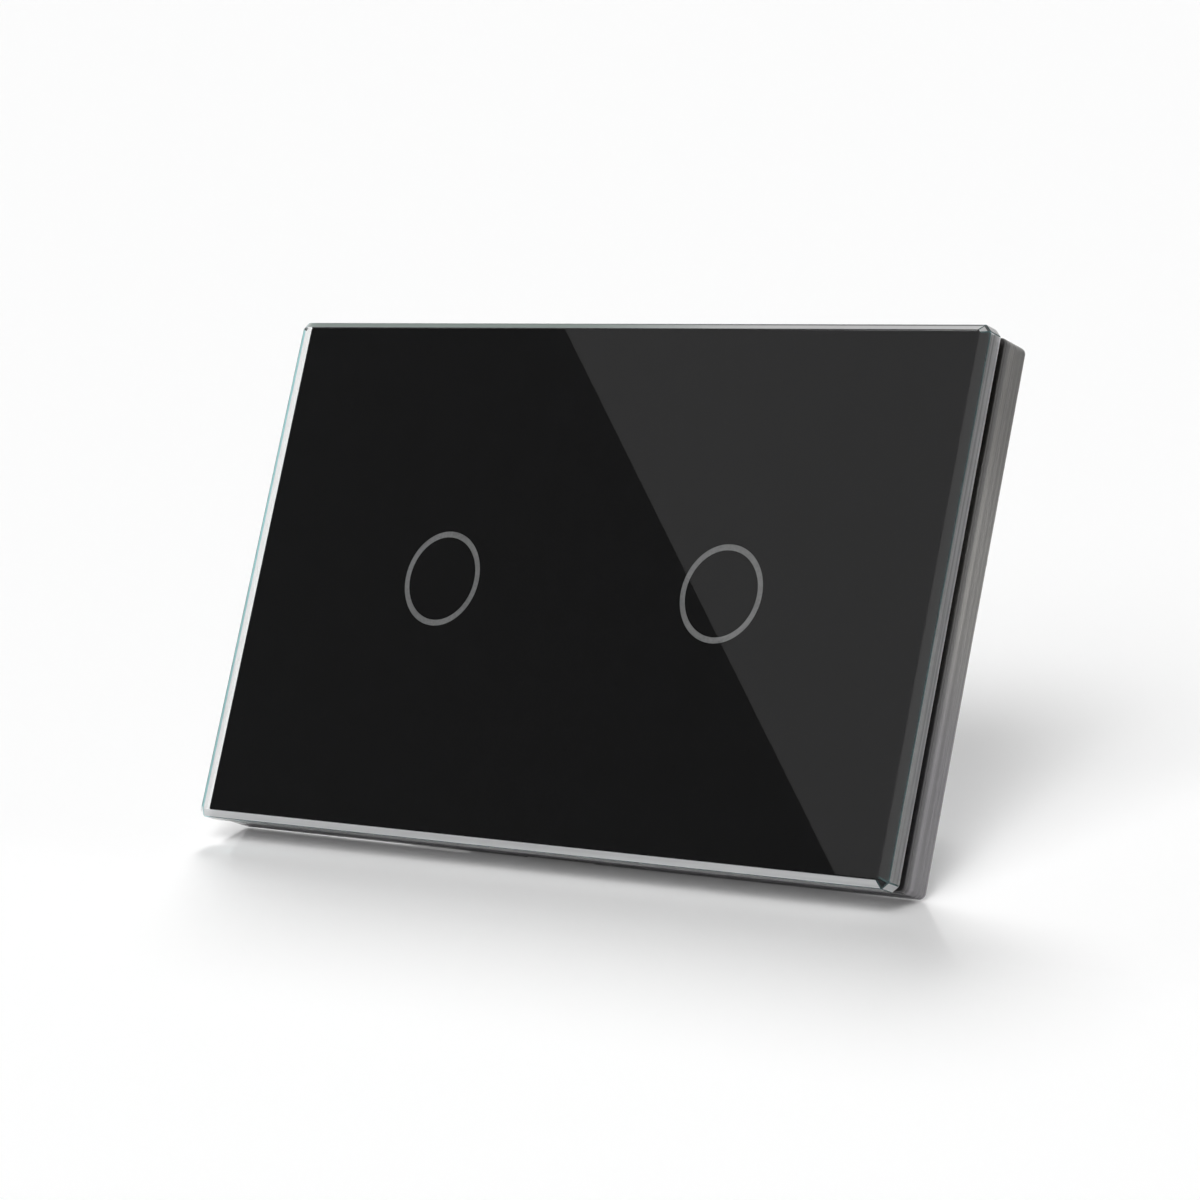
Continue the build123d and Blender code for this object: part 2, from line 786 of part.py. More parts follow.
def make_relay_bobbin(side):
    """Plastic spool for the coil."""
    spool = relay_rod(side, 0, yoke_foot_top, winding_low, bobbin_radius)
    spool = spool + relay_rod(side, 0, winding_low, winding_high, barrel_radius)
    spool = spool + relay_rod(side, 0, winding_high, bobbin_top, bobbin_radius)
    low, high = yoke_foot_top - cut_overrun, bobbin_top + cut_overrun
    return spool - relay_rod(side, 0, low, high, core_radius + core_gap)


def make_relay_winding(side):
    """Copper winding on the spool."""
    outer = relay_rod(side, 0, winding_low, winding_high, winding_radius)
    low, high = winding_low - cut_overrun, winding_high + cut_overrun
    return outer - relay_rod(side, 0, low, high, barrel_radius)


def make_relay_core(side):
    """Iron core through the spool, with a wider pole on top."""
    stem = relay_rod(side, 0, relay_base_top, bobbin_top, core_radius)
    return stem + relay_rod(side, 0, bobbin_top, pole_top, pole_radius)


def make_relay_armature(side):
    """Iron plate that the core pulls down, rolled round where it rocks on the yoke."""
    half = armature_thickness / 2
    pivot = yoke_outer + half
    plate = relay_block(side, pivot, pole_radius * 2, armature_low, armature_high, yoke_half_z)
    x = relay_centre(side) + side * pivot
    z_low, z_high = relay_z - yoke_half_z, relay_z + yoke_half_z
    return plate + upright(x, armature_low + half, z_low, z_high, half)


def make_relay_blade(side):
    """Bronze blade on the armature, with the moving contact under its end."""
    end = contact_u + contact_radius
    half_z = relay_inner_half_z * blade_width_share
    blade = relay_block(side, yoke_inner, end, armature_high, blade_high, half_z)
    return blade + relay_rod(side, contact_u, moving_contact_low, armature_high, contact_radius)


def make_relay_contact(side):
    """Fixed contact on its post."""
    low, high = contact_u - contact_post_thickness / 2, contact_u + contact_post_thickness / 2
    half_z = relay_inner_half_z * contact_post_width_share
    top = fixed_contact_high - contact_height
    post = relay_block(side, low, high, relay_base_top, top, half_z)
    return post + relay_rod(side, contact_u, top, fixed_contact_high, contact_radius)


row_depth = works_depth - relay_length
supply_z = block_high_z + row_depth / 2
can_radius = row_depth * can_radius_share
fuse_radius = row_depth * fuse_radius_share
rectifier_length = row_depth * rectifier_length_share
side_bay_low = block_half_x + supply_gap
side_bay_high = post_x - post_radius - supply_gap
side_bay_x = (side_bay_low + side_bay_high) / 2
core_width = side_bay_high - side_bay_low - 2 * coil_swell
side_bay_z = block_high_z - core_length / 2


def make_film_capacitor():
    """Boxed suppression capacitor."""
    half_z = film_capacitor_width / 2
    top = power_back + film_capacitor_height
    low, high = film_low_x, film_low_x + film_capacitor_length
    box = block(low, high, power_back, top, supply_z - half_z, supply_z + half_z)
    return fillet(rear_edges(box), film_capacitor_round)


film_low_x = -(film_capacitor_length + can_radius * 2 + row_gap * 3 / 2)
can_x = film_low_x + film_capacitor_length + row_gap + can_radius
fuse_x = can_x + can_radius + row_gap + fuse_radius
varistor_x = fuse_x + fuse_radius + row_gap + varistor_radius
rectifier_low_x = varistor_x + varistor_radius + row_gap


def make_smoothing_capacitor():
    """Aluminium can with a crimp groove, on a rubber bung."""
    low, top = power_back, power_back + can_height
    can = rod(can_x, supply_z, low, top, can_radius)
    can = fillet(rear_edges(can), can_round)
    groove_low = low + can_groove_height
    groove = rod(can_x, supply_z, groove_low, groove_low + can_groove_width, can_radius + cut_overrun)
    groove = groove - rod(
        can_x,
        supply_z,
        groove_low - cut_overrun,
        groove_low + can_groove_width + cut_overrun,
        can_radius - can_groove,
    )
    return can - groove


def make_fuse():
    """Round radial fuse."""
    fuse = rod(fuse_x, supply_z, power_back, power_back + fuse_height, fuse_radius)
    return fillet(rear_edges(fuse), fuse_round)


def make_varistor():
    """Coated surge disc standing on edge on two short legs."""
    middle_y = power_back + varistor_standoff + varistor_radius
    half = varistor_thickness / 2
    disc = upright(varistor_x, middle_y, supply_z - half, supply_z + half, varistor_radius)
    legs = [varistor_x - varistor_radius / 2, varistor_x + varistor_radius / 2]
    for x in legs:
        disc = disc + rod(x, supply_z, power_back, middle_y, pin_thickness / 2)
    return disc


def make_rectifier():
    """Bridge rectifier with one cut edge."""
    high_x = rectifier_low_x + rectifier_width
    half_z = rectifier_length / 2
    top = power_back + rectifier_height
    chip = block(rectifier_low_x, high_x, power_back, top, supply_z - half_z, supply_z + half_z)
    edge = chip.edges().filter_by(Axis.Z).sort_by(Axis.Y)[-1]
    return chamfer(edge, rectifier_chamfer)


def core_block(half_x, y_low, y_high, half_z):
    """Box about the supply transformer's middle."""
    x, z = side_bay_x, side_bay_z
    return block(x - half_x, x + half_x, y_low, y_high, z - half_z, z + half_z)


def make_transformer_core():
    """Ferrite core with two windows round its middle limb."""
    half_z = core_length / 2
    top = power_back + core_height
    core = core_block(core_width / 2, power_back, top, half_z)
    outer = half_z - core_limb
    window = core_block(core_width / 2 + cut_overrun, power_back + core_limb, top - core_limb, outer)
    limb = core_block(core_width / 2, power_back + core_limb, top - core_limb, core_limb / 2)
    return core - window + limb


def make_transformer_coil():
    """Taped winding round the middle limb."""
    low = power_back + core_limb + coil_side_gap
    high = power_back + core_height - core_limb - coil_side_gap
    outer = core_length / 2 - core_limb - coil_side_gap
    coil = core_block(core_width / 2 + coil_swell, low, high, outer)
    inner_x, inner_z = core_width / 2 + coil_side_gap / 2, core_limb / 2 + coil_side_gap / 2
    return coil - core_block(inner_x, low - cut_overrun, high + cut_overrun, inner_z)


def make_choke():
    """Drum choke with two flanges."""
    x, z = -side_bay_x, side_bay_z
    top = power_back + choke_height
    drum = rod(x, z, power_back, power_back + choke_flange, choke_radius)
    drum = drum + rod(x, z, power_back + choke_flange, top - choke_flange, choke_radius - choke_waist)
    return drum + rod(x, z, top - choke_flange, top, choke_radius)


nodes = {
    "glass_panel": make_glass_panel(),
    "back_print": make_back_print(),
    "foam_tape": make_foam_tape(),
    "panel_frame": make_panel_frame(),
    "mounting_strap": make_mounting_strap(),
    "rear_housing": make_rear_housing(),
    "touch_cover": make_touch_cover(),
    "cover_screws": make_cover_screws(),
    "touch_board": make_touch_board(),
    "touch_lamps": make_touch_lamps(),
    "touch_controller": make_touch_controller(),
    "header_base": make_header_base(),
    "header_pins": make_header_pins(),
    "header_socket": make_header_socket(),
    "power_board": make_power_board(),
    "board_screws": make_board_screws(),
    "terminal_block": make_terminal_block(),
    "contact_bars": make_contact_bars(),
    "film_capacitor": make_film_capacitor(),
    "smoothing_capacitor": make_smoothing_capacitor(),
    "fuse": make_fuse(),
    "varistor": make_varistor(),
    "rectifier": make_rectifier(),
    "transformer_core": make_transformer_core(),
    "transformer_coil": make_transformer_coil(),
    "choke": make_choke(),
}
for index in range(terminal_count):
    nodes[f"clamp_screw_{index + 1}"] = make_clamp_screw(index)
    nodes[f"clamp_cage_{index + 1}"] = make_clamp_cage(index)
for side, word in ((-1, "left"), (1, "right")):
    nodes[f"ring_window_{word}"] = ring_shape(
        side, glass_back, print_back, ring_inner_radius, ring_outer_radius
    )
    nodes[f"light_ring_{word}"] = make_light_ring(side)
    nodes[f"touch_electrode_{word}"] = make_touch_electrode(side)
    nodes[f"relay_case_{word}"] = make_relay_case(side)
    nodes[f"relay_base_{word}"] = make_relay_base(side)
    nodes[f"relay_yoke_{word}"] = make_relay_yoke(side)
    nodes[f"relay_bobbin_{word}"] = make_relay_bobbin(side)
    nodes[f"relay_winding_{word}"] = make_relay_winding(side)
    nodes[f"relay_core_{word}"] = make_relay_core(side)
    nodes[f"relay_armature_{word}"] = make_relay_armature(side)
    nodes[f"relay_blade_{word}"] = make_relay_blade(side)
    nodes[f"relay_contact_{word}"] = make_relay_contact(side)

for name, shape in nodes.items():
    export_step(shape, f"parts/{name}.step")
print("nodes", len(nodes))
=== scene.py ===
import math
import bmesh
import bpy
from bpy.props import FloatProperty, FloatVectorProperty, PointerProperty
from mathutils import Matrix, Vector


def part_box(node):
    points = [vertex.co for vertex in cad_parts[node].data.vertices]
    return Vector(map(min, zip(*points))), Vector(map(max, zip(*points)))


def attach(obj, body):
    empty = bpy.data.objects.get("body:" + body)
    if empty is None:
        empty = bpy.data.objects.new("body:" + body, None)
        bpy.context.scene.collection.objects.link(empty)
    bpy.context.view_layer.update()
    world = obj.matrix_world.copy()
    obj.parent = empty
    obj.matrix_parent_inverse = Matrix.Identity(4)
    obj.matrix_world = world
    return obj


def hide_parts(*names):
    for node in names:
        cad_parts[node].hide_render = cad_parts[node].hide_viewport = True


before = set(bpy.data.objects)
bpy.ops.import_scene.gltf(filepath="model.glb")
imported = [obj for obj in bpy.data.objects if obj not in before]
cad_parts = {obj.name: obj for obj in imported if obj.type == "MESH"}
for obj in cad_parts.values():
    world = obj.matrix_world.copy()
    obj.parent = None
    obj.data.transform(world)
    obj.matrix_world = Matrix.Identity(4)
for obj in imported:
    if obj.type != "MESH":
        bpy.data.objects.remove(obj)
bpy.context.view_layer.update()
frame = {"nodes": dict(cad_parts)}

bl_info = {
    "name": "Touch light switch",
    "version": (1, 0, 0),
    "blender": (4, 5, 0),
    "location": "View3D > Sidebar > Touch switch",
    "description": "Dresses the touch light switch: glass front, frame, module, terminals and studio",
    "category": "Object",
}

GLASS_LOW, GLASS_HIGH = (Vector(corner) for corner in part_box("glass_panel"))
FRAME_LOW, FRAME_HIGH = (Vector(corner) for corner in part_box("panel_frame"))
NEAR = 0.00001  # places closer than this are the same

POLISHED, GROUND, BEVELLED, EDGE_LINE = range(4)  # the glass plate's finishes
FLAT = 0.9  # a facet whose normal runs this far along Y is the front or the back
SLOPED = 0.3  # one that runs this far to the front is part of the bevel
CORNERED = 0.2  # one that runs this far along both X and Z is a corner's
FRONT_STRIPS = (-0.995, -0.75)  # Y of the normals of the softened strips beside the front
REAR_STRIPS = 0.05  # and the least Y of those beside the back
SHARP = math.radians(20)  # edges that turn further than this are softened
TOP_SHADE_FADE = (-0.012, 0.028)  # where, in X, the painted shade on the left of the top bevel fades out
BORDER_START = 0.72  # share of the bevel's depth at which its painted dark border line starts
BORDER_FADE = (0.00003, 0.00005)  # how softly that line starts and ends
GREEN_FADE = 0.0003
FRAME_SHADE_BANDS = (  # share of the frame's depth from its front, and how pale its side is painted there: painted shade at the front, a painted highlight line, then painted shade and a painted highlight rim at the back
    (0.0, 0.25),
    (0.16, 0.4),
    (0.23, 1.45),
    (0.33, 1.45),
    (0.4, 1.0),
    (0.78, 1.0),
    (0.84, 0.7),
    (0.92, 1.5),
)
BAND_TINT = (1.0, 0.98, 0.96)
COVER_SCREW_RADIUS = 0.0017
BOARD_SCREW_RADIUS = 0.002
STRIPE_EDGE = (-0.0024, -0.0022)  # from the can's middle, where its pale stripe ends in X
STRIPE_HALF = (0.0009, 0.001)  # and in Z, either way
SCORE_HALF = (0.00006, 0.00016)  # half the breadth of the cross in its end, from deep to gone

# A grain is squeezed along two axes, so that its lines run along the third.
ALONG_X = (1.0, 30.0, 30.0)
ALONG_Y = (30.0, 1.0, 30.0)
ALONG_PINS = (60.0, 1.0, 60.0)

STAGE_SIZE = 6
POLISH_EDGE = (-0.03, -0.002)  # where, from front to back, the floor starts to mirror
CARD_DISTANCE = 0.5
CARD_EDGE = Vector((-0.4411, 0.1871)), Vector((-0.3078, 0.0348))  # where its pale side ends, in X and Z
CARD_BLUR = 0.00015
CARD_GAIN = (-0.25, 0.6)  # where, in X, the card starts and stops growing paler
DIM_SIDE = 0.35  # share of the surround's light that is left towards the right
SOFTBOXES = {  # height, heading from behind and breadth in degrees, and the setting of its strength
    "Back softbox": (45, 330, 20, "back_light"),
    "Side softbox": (45, 150, 20, "side_light"),
    "Front softbox": (45, 165, 48, "front_light"),
}
CAMERA_PLACE = Vector((0.35525, -0.42387, -0.09394))
CAMERA_FORWARD = Vector((-0.6361, 0.7533, 0.1671))
CAMERA_RIGHT = Vector((0.7704, 0.6077, 0.1931))
LENS, SENSOR = 125.85, 36


def colour_property(name, what, default):
    """The colour of something, which a user can change in the sidebar."""
    return FloatVectorProperty(
        name=name, description=f"Colour of {what}", default=default, subtype="COLOR", size=3, min=0, max=1
    )


def length_property(name, description, default):
    """A length that a user can change in the sidebar."""
    return FloatProperty(
        name=name, description=description, default=default, unit="LENGTH", min=0, precision=5
    )


def number_property(name, description, default):
    """A plain number that a user can change in the sidebar."""
    return FloatProperty(name=name, description=description, default=default, min=0)


class StudioSettings(bpy.types.PropertyGroup):
    floor_lean: FloatProperty(
        name="Floor lean",
        description="How far the floor tips from level, with the switch leaning back on it",
        default=math.radians(28.7),
        unit="ROTATION",
    )
    floor_colour: colour_property("Floor", "the floor", (0.93, 0.93, 0.93))
    floor_lift: number_property("Floor lift", "Light added to the floor for the camera alone", 0.075)
    floor_polish: number_property("Floor polish", "How much the floor mirrors beside the switch", 0.15)
    back_light: number_property("Back light", "Strength of the light behind", 1.72)
    side_light: number_property("Side light", "Strength of the light in front and to the right", 1.02)
    front_light: number_property("Front light", "Strength of the light in front", 1.5)
    surround: number_property("Surround", "Strength of the light from all round", 0.06)
    dark_card: number_property("Dark card", "Brightness of the front card's dark side", 0.15)
    pale_card: number_property("Pale card", "Brightness of the front card's pale side", 0.6)
    far_card: number_property("Far card", "What the front card gains towards its far right end", 0.7)


class GlassSettings(bpy.types.PropertyGroup):
    bevel: length_property("Bevel", "Width of the bevel round the front", 0.001)
    corner_cut: length_property("Corner cut", "Width of the cut on each corner", 0.0009)
    rear_arris: length_property("Rear arris", "Width of the dulled edge at the back", 0.0002)
    softness: length_property("Edge softness", "Rounding left by the polishing wheel", 0.00011)
    green_depth: length_property("Green depth", "How deep the left side looks green", 0.0026)
    ink_bite: length_property("Ink bite", "How deep the print's face lies in the plate", 0.00001)
    ground: colour_property("Ground side", "the ground sides", (0.96, 0.965, 0.97))
    bevel_colour: colour_property("Ground bevel", "the ground bevels", (0.7, 0.71, 0.72))
    edge: colour_property("Edge line", "the thin line along each edge", (0.25, 0.64, 0.66))
    ink: colour_property("Ink", "the black print", (0.004, 0.004, 0.0045))
    ring: colour_property("Ring", "the ring windows", (0.3, 0.3, 0.3))


class MouldingSettings(bpy.types.PropertyGroup):
    frame: colour_property("Frame", "the frame", (0.235, 0.232, 0.232))
    foam: colour_property("Foam", "the foam tape", (0.012, 0.012, 0.012))
    housing: colour_property("Housing", "the rear housing", (0.05, 0.05, 0.053))
    cover: colour_property("Cover", "the touch cover", (0.035, 0.035, 0.038))
    terminal: colour_property("Terminal", "the terminal block", (0.03, 0.2, 0.09))
    relay: colour_property("Relay", "the relay cases", (0.03, 0.12, 0.4))
    bobbin: colour_property("Bobbin", "the relay bobbins", (0.72, 0.7, 0.62))
    grain: length_property("Grain", "Size of the spark texture", 0.00035)


class MetalSettings(bpy.types.PropertyGroup):
    zinc: colour_property("Zinc", "the zinc plated steel", (0.58, 0.6, 0.62))
    nickel: colour_property("Nickel", "nickel plated screws", (0.66, 0.65, 0.62))
    iron: colour_property("Iron", "the relays' plated iron", (0.52, 0.51, 0.49))
    tin: colour_property("Tin", "tinned copper", (0.76, 0.75, 0.72))
    gold: colour_property("Gold", "gold flashed pins", (0.84, 0.66, 0.3))
    copper: colour_property("Copper", "enamelled wire", (0.62, 0.24, 0.1))
    bronze: colour_property("Bronze", "the contact blades", (0.66, 0.42, 0.22))


class BoardSettings(bpy.types.PropertyGroup):
    touch_mask: colour_property("Touch board", "the touch board's solder mask", (0.012, 0.014, 0.016))
    power_mask: colour_property("Power board", "the power board's solder mask", (0.01, 0.12, 0.05))
    laminate: colour_property("Laminate", "the bare board edge", (0.5, 0.42, 0.2))
    pads: colour_property("Pads", "the tinned pads", (0.68, 0.69, 0.7))
    track_pitch: length_property("Track pitch", "Distance between neighbouring tracks", 0.0018)
    film: colour_property("Film capacitor", "the film capacitor", (0.72, 0.48, 0.05))
    sleeve: colour_property("Can sleeve", "the sleeve on the can", (0.02, 0.03, 0.09))
    varistor: colour_property("Varistor", "the dipped varistor", (0.02, 0.13, 0.42))
    fuse: colour_property("Fuse", "the fuse", (0.18, 0.04, 0.03))
    tape: colour_property("Coil tape", "the transformer's tape", (0.76, 0.56, 0.1))


def place(tree, kind, values=None, **settings):
    """A shader node with its settings and what its inputs hold: a value, or a node's output."""
    node = tree.nodes.new(kind)
    for label, value in settings.items():
        setattr(node, label, value)
    for label, value in (values or {}).items():
        if isinstance(value, bpy.types.NodeSocket):
            tree.links.new(value, node.inputs[label])
        else:
            node.inputs[label].default_value = value
    return node


def feed(tree, node, **values):
    """Links a node's inputs."""
    for label, value in values.items():
        tree.links.new(value, node.inputs[label.replace("_", " ")])


def math_node(tree, operation, first, second=0.0):
    """The result of one sum."""
    return place(tree, "ShaderNodeMath", {0: first, 1: second}, operation=operation).outputs[0]


def product(tree, first, second):
    """Two numbers multiplied."""
    return math_node(tree, "MULTIPLY", first, second)


def spread(tree, value, low, high, new_low=0.0, new_high=1.0, smooth=True):
    """A value moved from one range to another, eased at both ends unless told otherwise."""
    node = place(
        tree,
        "ShaderNodeMapRange",
        {"Value": value, "From Min": low, "From Max": high, "To Min": new_low, "To Max": new_high},
        interpolation_type="SMOOTHSTEP" if smooth else "LINEAR",
    )
    return node.outputs["Result"]


def fading(tree, value, low, high):
    """1 up to the low end of a range, and eased down to 0 at its high end."""
    return spread(tree, value, low, high, 1.0, 0.0)


def mixed(tree, factor, first, second):
    """A colour between two."""
    node = place(tree, "ShaderNodeMix", data_type="RGBA")
    # Of this node's sockets, inputs 6 and 7 and output 2 are the colours.
    for index, value in ((0, factor), (6, first), (7, second)):
        if isinstance(value, bpy.types.NodeSocket):
            tree.links.new(value, node.inputs[index])
        else:
            node.inputs[index].default_value = (*value, 1) if index else value
    return node.outputs[2]


def object_point(tree):
    """Places on the piece, in metres."""
    return place(tree, "ShaderNodeTexCoord").outputs["Object"]


def normal(tree):
    """Where the surface faces, on the piece's own axes."""
    return place(tree, "ShaderNodeTexCoord").outputs["Normal"]


def axes(tree, vector):
    """A vector's X, Y and Z."""
    return tuple(place(tree, "ShaderNodeSeparateXYZ", {0: vector}).outputs)


def along_y(tree, vector):
    """How far a direction runs along Y, either way."""
    return math_node(tree, "ABSOLUTE", axes(tree, vector)[1])


def centred(tree, point, x, z):
    """A place measured from a middle in X and Z."""
    return place(tree, "ShaderNodeMapping", {"Vector": point, "Location": (-x, 0.0, -z)}).outputs[0]


def times(tree, first, second):
    """Two colours or vectors multiplied."""
    return place(tree, "ShaderNodeVectorMath", {0: first, 1: second}, operation="MULTIPLY").outputs[0]


def noise(tree, point, scale, **more):
    """Soft noise, from 0 to 1."""
    return place(tree, "ShaderNodeTexNoise", {"Vector": point, "Scale": scale, **more}).outputs["Fac"]


def cell_depth(tree, point, scale, feature="F1", **more):
    """How far a place lies from the middle of its cell."""
    values = {"Vector": point, "Scale": scale, **more}
    return place(tree, "ShaderNodeTexVoronoi", values, feature=feature).outputs["Distance"]


def effect_group(name, inputs, outputs):
    """An empty shader node group with what it is given and where it ends.

    An input is a number where its default is one, or else a vector.
    """
    tree = bpy.data.node_groups.new(name, "ShaderNodeTree")
    for label, default in inputs.items():
        kind = "NodeSocketFloat" if isinstance(default, float) else "NodeSocketVector"
        socket = tree.interface.new_socket(name=label, in_out="INPUT", socket_type=kind)
        if default is not None:
            socket.default_value = default
    for label in outputs:
        tree.interface.new_socket(name=label, in_out="OUTPUT", socket_type="NodeSocketFloat")
    return tree, tree.nodes.new("NodeGroupInput").outputs, tree.nodes.new("NodeGroupOutput")


def make_spark_texture():
    """Fine pitted grain of a moulding tool, with slow changes of shine."""
    inputs = {"Vector": None, "Size": 0.00035}
    tree, given, leave = effect_group("Spark texture", inputs, ("Height", "Shine"))
    point = given["Vector"]
    pits = cell_depth(tree, point, math_node(tree, "DIVIDE", 1.0, given["Size"]), "SMOOTH_F1")
    feed(tree, leave, Height=pits, Shine=noise(tree, point, 90.0, Detail=3.0))


def make_handling_marks():
    """Faint smears, and specks of dust."""
    inputs = {"Vector": None, "Scale": 60.0}
    tree, given, leave = effect_group("Handling marks", inputs, ("Smears", "Dust"))
    point, scale = given["Vector"], given["Scale"]
    smear = noise(tree, point, scale, Detail=5.0, Distortion=0.6)
    speck = noise(tree, point, product(tree, scale, 60.0), Detail=1.0)
    feed(tree, leave, Smears=spread(tree, smear, 0.42, 0.72), Dust=spread(tree, speck, 0.72, 0.8))


def make_drawn_grain():
    """Long fine lines left by rolling, drawing or grinding, and the cells of a plating."""
    inputs = {"Vector": None, "Stretch": ALONG_X}
    tree, given, leave = effect_group("Drawn grain", inputs, ("Lines", "Spangle"))
    point = given["Vector"]
    lines = noise(tree, times(tree, point, given["Stretch"]), 60.0, Detail=4.0)
    feed(tree, leave, Lines=lines, Spangle=cell_depth(tree, point, 420.0))


def make_turned_rings():
    """Rings that a lathe leaves round the Y axis."""
    tree, given, leave = effect_group("Turned rings", {"Vector": None}, ("Rings",))
    flat = times(tree, given["Vector"], (1.0, 0.0, 1.0))
    radius = place(tree, "ShaderNodeVectorMath", {0: flat}, operation="LENGTH").outputs["Value"]
    rings = place(tree, "ShaderNodeTexNoise", {"W": radius, "Scale": 9000.0}, noise_dimensions="1D")
    feed(tree, leave, Rings=rings.outputs["Fac"])


def make_ejector_marks():
    """Round marks that the ejector pins leave on faces that look along Y."""
    inputs = {"Vector": None, "Normal": None, "Pitch": 0.02, "Radius": 0.0015}
    tree, given, leave = effect_group("Ejector marks", inputs, ("Marks",))
    x, _, z = axes(tree, given["Vector"])
    steps = (math_node(tree, "PINGPONG", way, given["Pitch"]) for way in (x, z))
    squares = (math_node(tree, "POWER", step, 2.0) for step in steps)
    reach = math_node(tree, "SQRT", math_node(tree, "ADD", *squares))
    off = math_node(tree, "ABSOLUTE", math_node(tree, "SUBTRACT", reach, given["Radius"]))
    ring = fading(tree, off, 0.00002, 0.00012)
    flat = spread(tree, along_y(tree, given["Normal"]), 0.95, 0.98)
    feed(tree, leave, Marks=product(tree, ring, flat))


def make_board_tracks():
    """Tracks under the solder mask and round tinned pads, on the XZ plane."""
    inputs = {"Vector": None, "Pitch": 0.0018}
    tree, given, leave = effect_group("Board tracks", inputs, ("Tracks", "Pads"))
    x, _, z = axes(tree, given["Vector"])
    flat = place(tree, "ShaderNodeCombineXYZ", {0: x, 1: z}).outputs[0]
    scale = math_node(tree, "DIVIDE", 1.0, given["Pitch"])
    rows = {"Mortar Size": 0.12, "Mortar Smooth": 0.1, "Brick Width": 5.2, "Row Height": 1.0}
    bricks = place(tree, "ShaderNodeTexBrick", {"Vector": flat, "Scale": scale, **rows})
    holes = cell_depth(tree, flat, product(tree, scale, 0.55), Randomness=0.8)
    feed(tree, leave, Tracks=bricks.outputs["Fac"], Pads=fading(tree, holes, 0.17, 0.2))


def make_turns_of_wire():
    """Ridges of wire wound round the Y axis."""
    inputs = {"Vector": None, "Pitch": 0.0002}
    tree, given, leave = effect_group("Turns of wire", inputs, ("Ridges", "Tone"))
    point = given["Vector"]
    wander = product(tree, noise(tree, point, 500.0, Detail=1.0), 0.5)
    turns = math_node(tree, "DIVIDE", axes(tree, point)[1], given["Pitch"])
    turns = math_node(tree, "ADD", turns, wander)
    whole = math_node(tree, "FLOOR", turns)
    single = place(tree, "ShaderNodeTexWhiteNoise", {"W": whole}, noise_dimensions="1D")
    feed(tree, leave, Ridges=math_node(tree, "PINGPONG", turns, 0.5), Tone=single.outputs["Value"])


def effect(tree, name, **values):
    """What one of the shared effects gives a material, by name."""
    return place(tree, "ShaderNodeGroup", values, node_tree=bpy.data.node_groups[name]).outputs


def new_finish(name, **plain):
    """A material with one Principled shader, its plain values and the nodes to build on."""
    finish = bpy.data.materials.new(name)
    finish.use_nodes = True
    shader = finish.node_tree.nodes["Principled BSDF"]
    for label, value in plain.items():
        socket = shader.inputs[label.replace("_", " ")]
        socket.default_value = (*value, 1) if hasattr(value, "__len__") and len(value) == 3 else value
    return finish, finish.node_tree, shader


def bare_finish(name):
    """A material with nothing in it yet."""
    finish = bpy.data.materials.new(name)
    finish.use_nodes = True
    finish.node_tree.nodes.clear()
    return finish, finish.node_tree


def shade(colour, share):
    """A colour made darker or paler by a share, white at most."""
    return tuple(min(1.0, part * share) for part in colour)


def relief(tree, shader, height, depth, strength=0.5):
    """Feeds a height to the shader's normal."""
    bump = place(tree, "ShaderNodeBump", {"Strength": strength, "Distance": depth, "Height": height})
    tree.links.new(bump.outputs["Normal"], shader.inputs["Normal"])


def moulded_finish(name, colour, size, rough, depth, ejectors=0.0):
    """Moulded plastic with a spark texture, slow changes of shine, dust and ejector marks."""
    finish, tree, shader = new_finish(name)
    point = object_point(tree)
    grain = effect(tree, "Spark texture", Vector=point, Size=size)
    marks = effect(tree, "Handling marks", Vector=point, Scale=45.0)
    base = mixed(tree, grain["Shine"], shade(colour, 0.88), shade(colour, 1.12))
    dust = product(tree, marks["Dust"], 0.5)
    base = mixed(tree, dust, base, tuple(min(1.0, part + 0.06) for part in colour))
    height = grain["Height"]
    if ejectors:
        pins = effect(tree, "Ejector marks", Vector=point, Normal=normal(tree), Pitch=ejectors)
        rings = pins["Marks"]
        base = mixed(tree, rings, base, shade(colour, 0.6))
        height = math_node(tree, "SUBTRACT", height, product(tree, rings, 2.0))
    shine = spread(tree, marks["Smears"], 0.0, 1.0, rough, rough - 0.09, smooth=False)
    feed(tree, shader, Base_Color=base, Roughness=shine)
    relief(tree, shader, height, depth)
    return finish


def metal_finish(name, colour, rough, stretch=ALONG_X, depth=0.00001, edges=1.0, cells=0.24):
    """Plated or rolled metal with fine lines, plating cells, smears and darker sheared edges."""
    finish, tree, shader = new_finish(name, Metallic=1.0)
    point = object_point(tree)
    grain = effect(tree, "Drawn grain", Vector=point, Stretch=stretch)
    marks = effect(tree, "Handling marks", Vector=point, Scale=70.0)
    pale, dark = shade(colour, 1 + cells / 3), shade(colour, 1 - cells * 2 / 3)
    base = mixed(tree, grain["Spangle"], pale, dark)
    side = fading(tree, along_y(tree, normal(tree)), 0.3, 0.6)
    base = mixed(tree, side, base, shade(colour, edges))
    lined = spread(tree, grain["Lines"], 0.3, 0.7, rough - 0.06, rough + 0.1, smooth=False)
    smeared = product(tree, marks["Smears"], 0.08)
    feed(tree, shader, Base_Color=base, Roughness=math_node(tree, "ADD", lined, smeared))
    relief(tree, shader, grain["Lines"], depth, 0.4)
    return finish


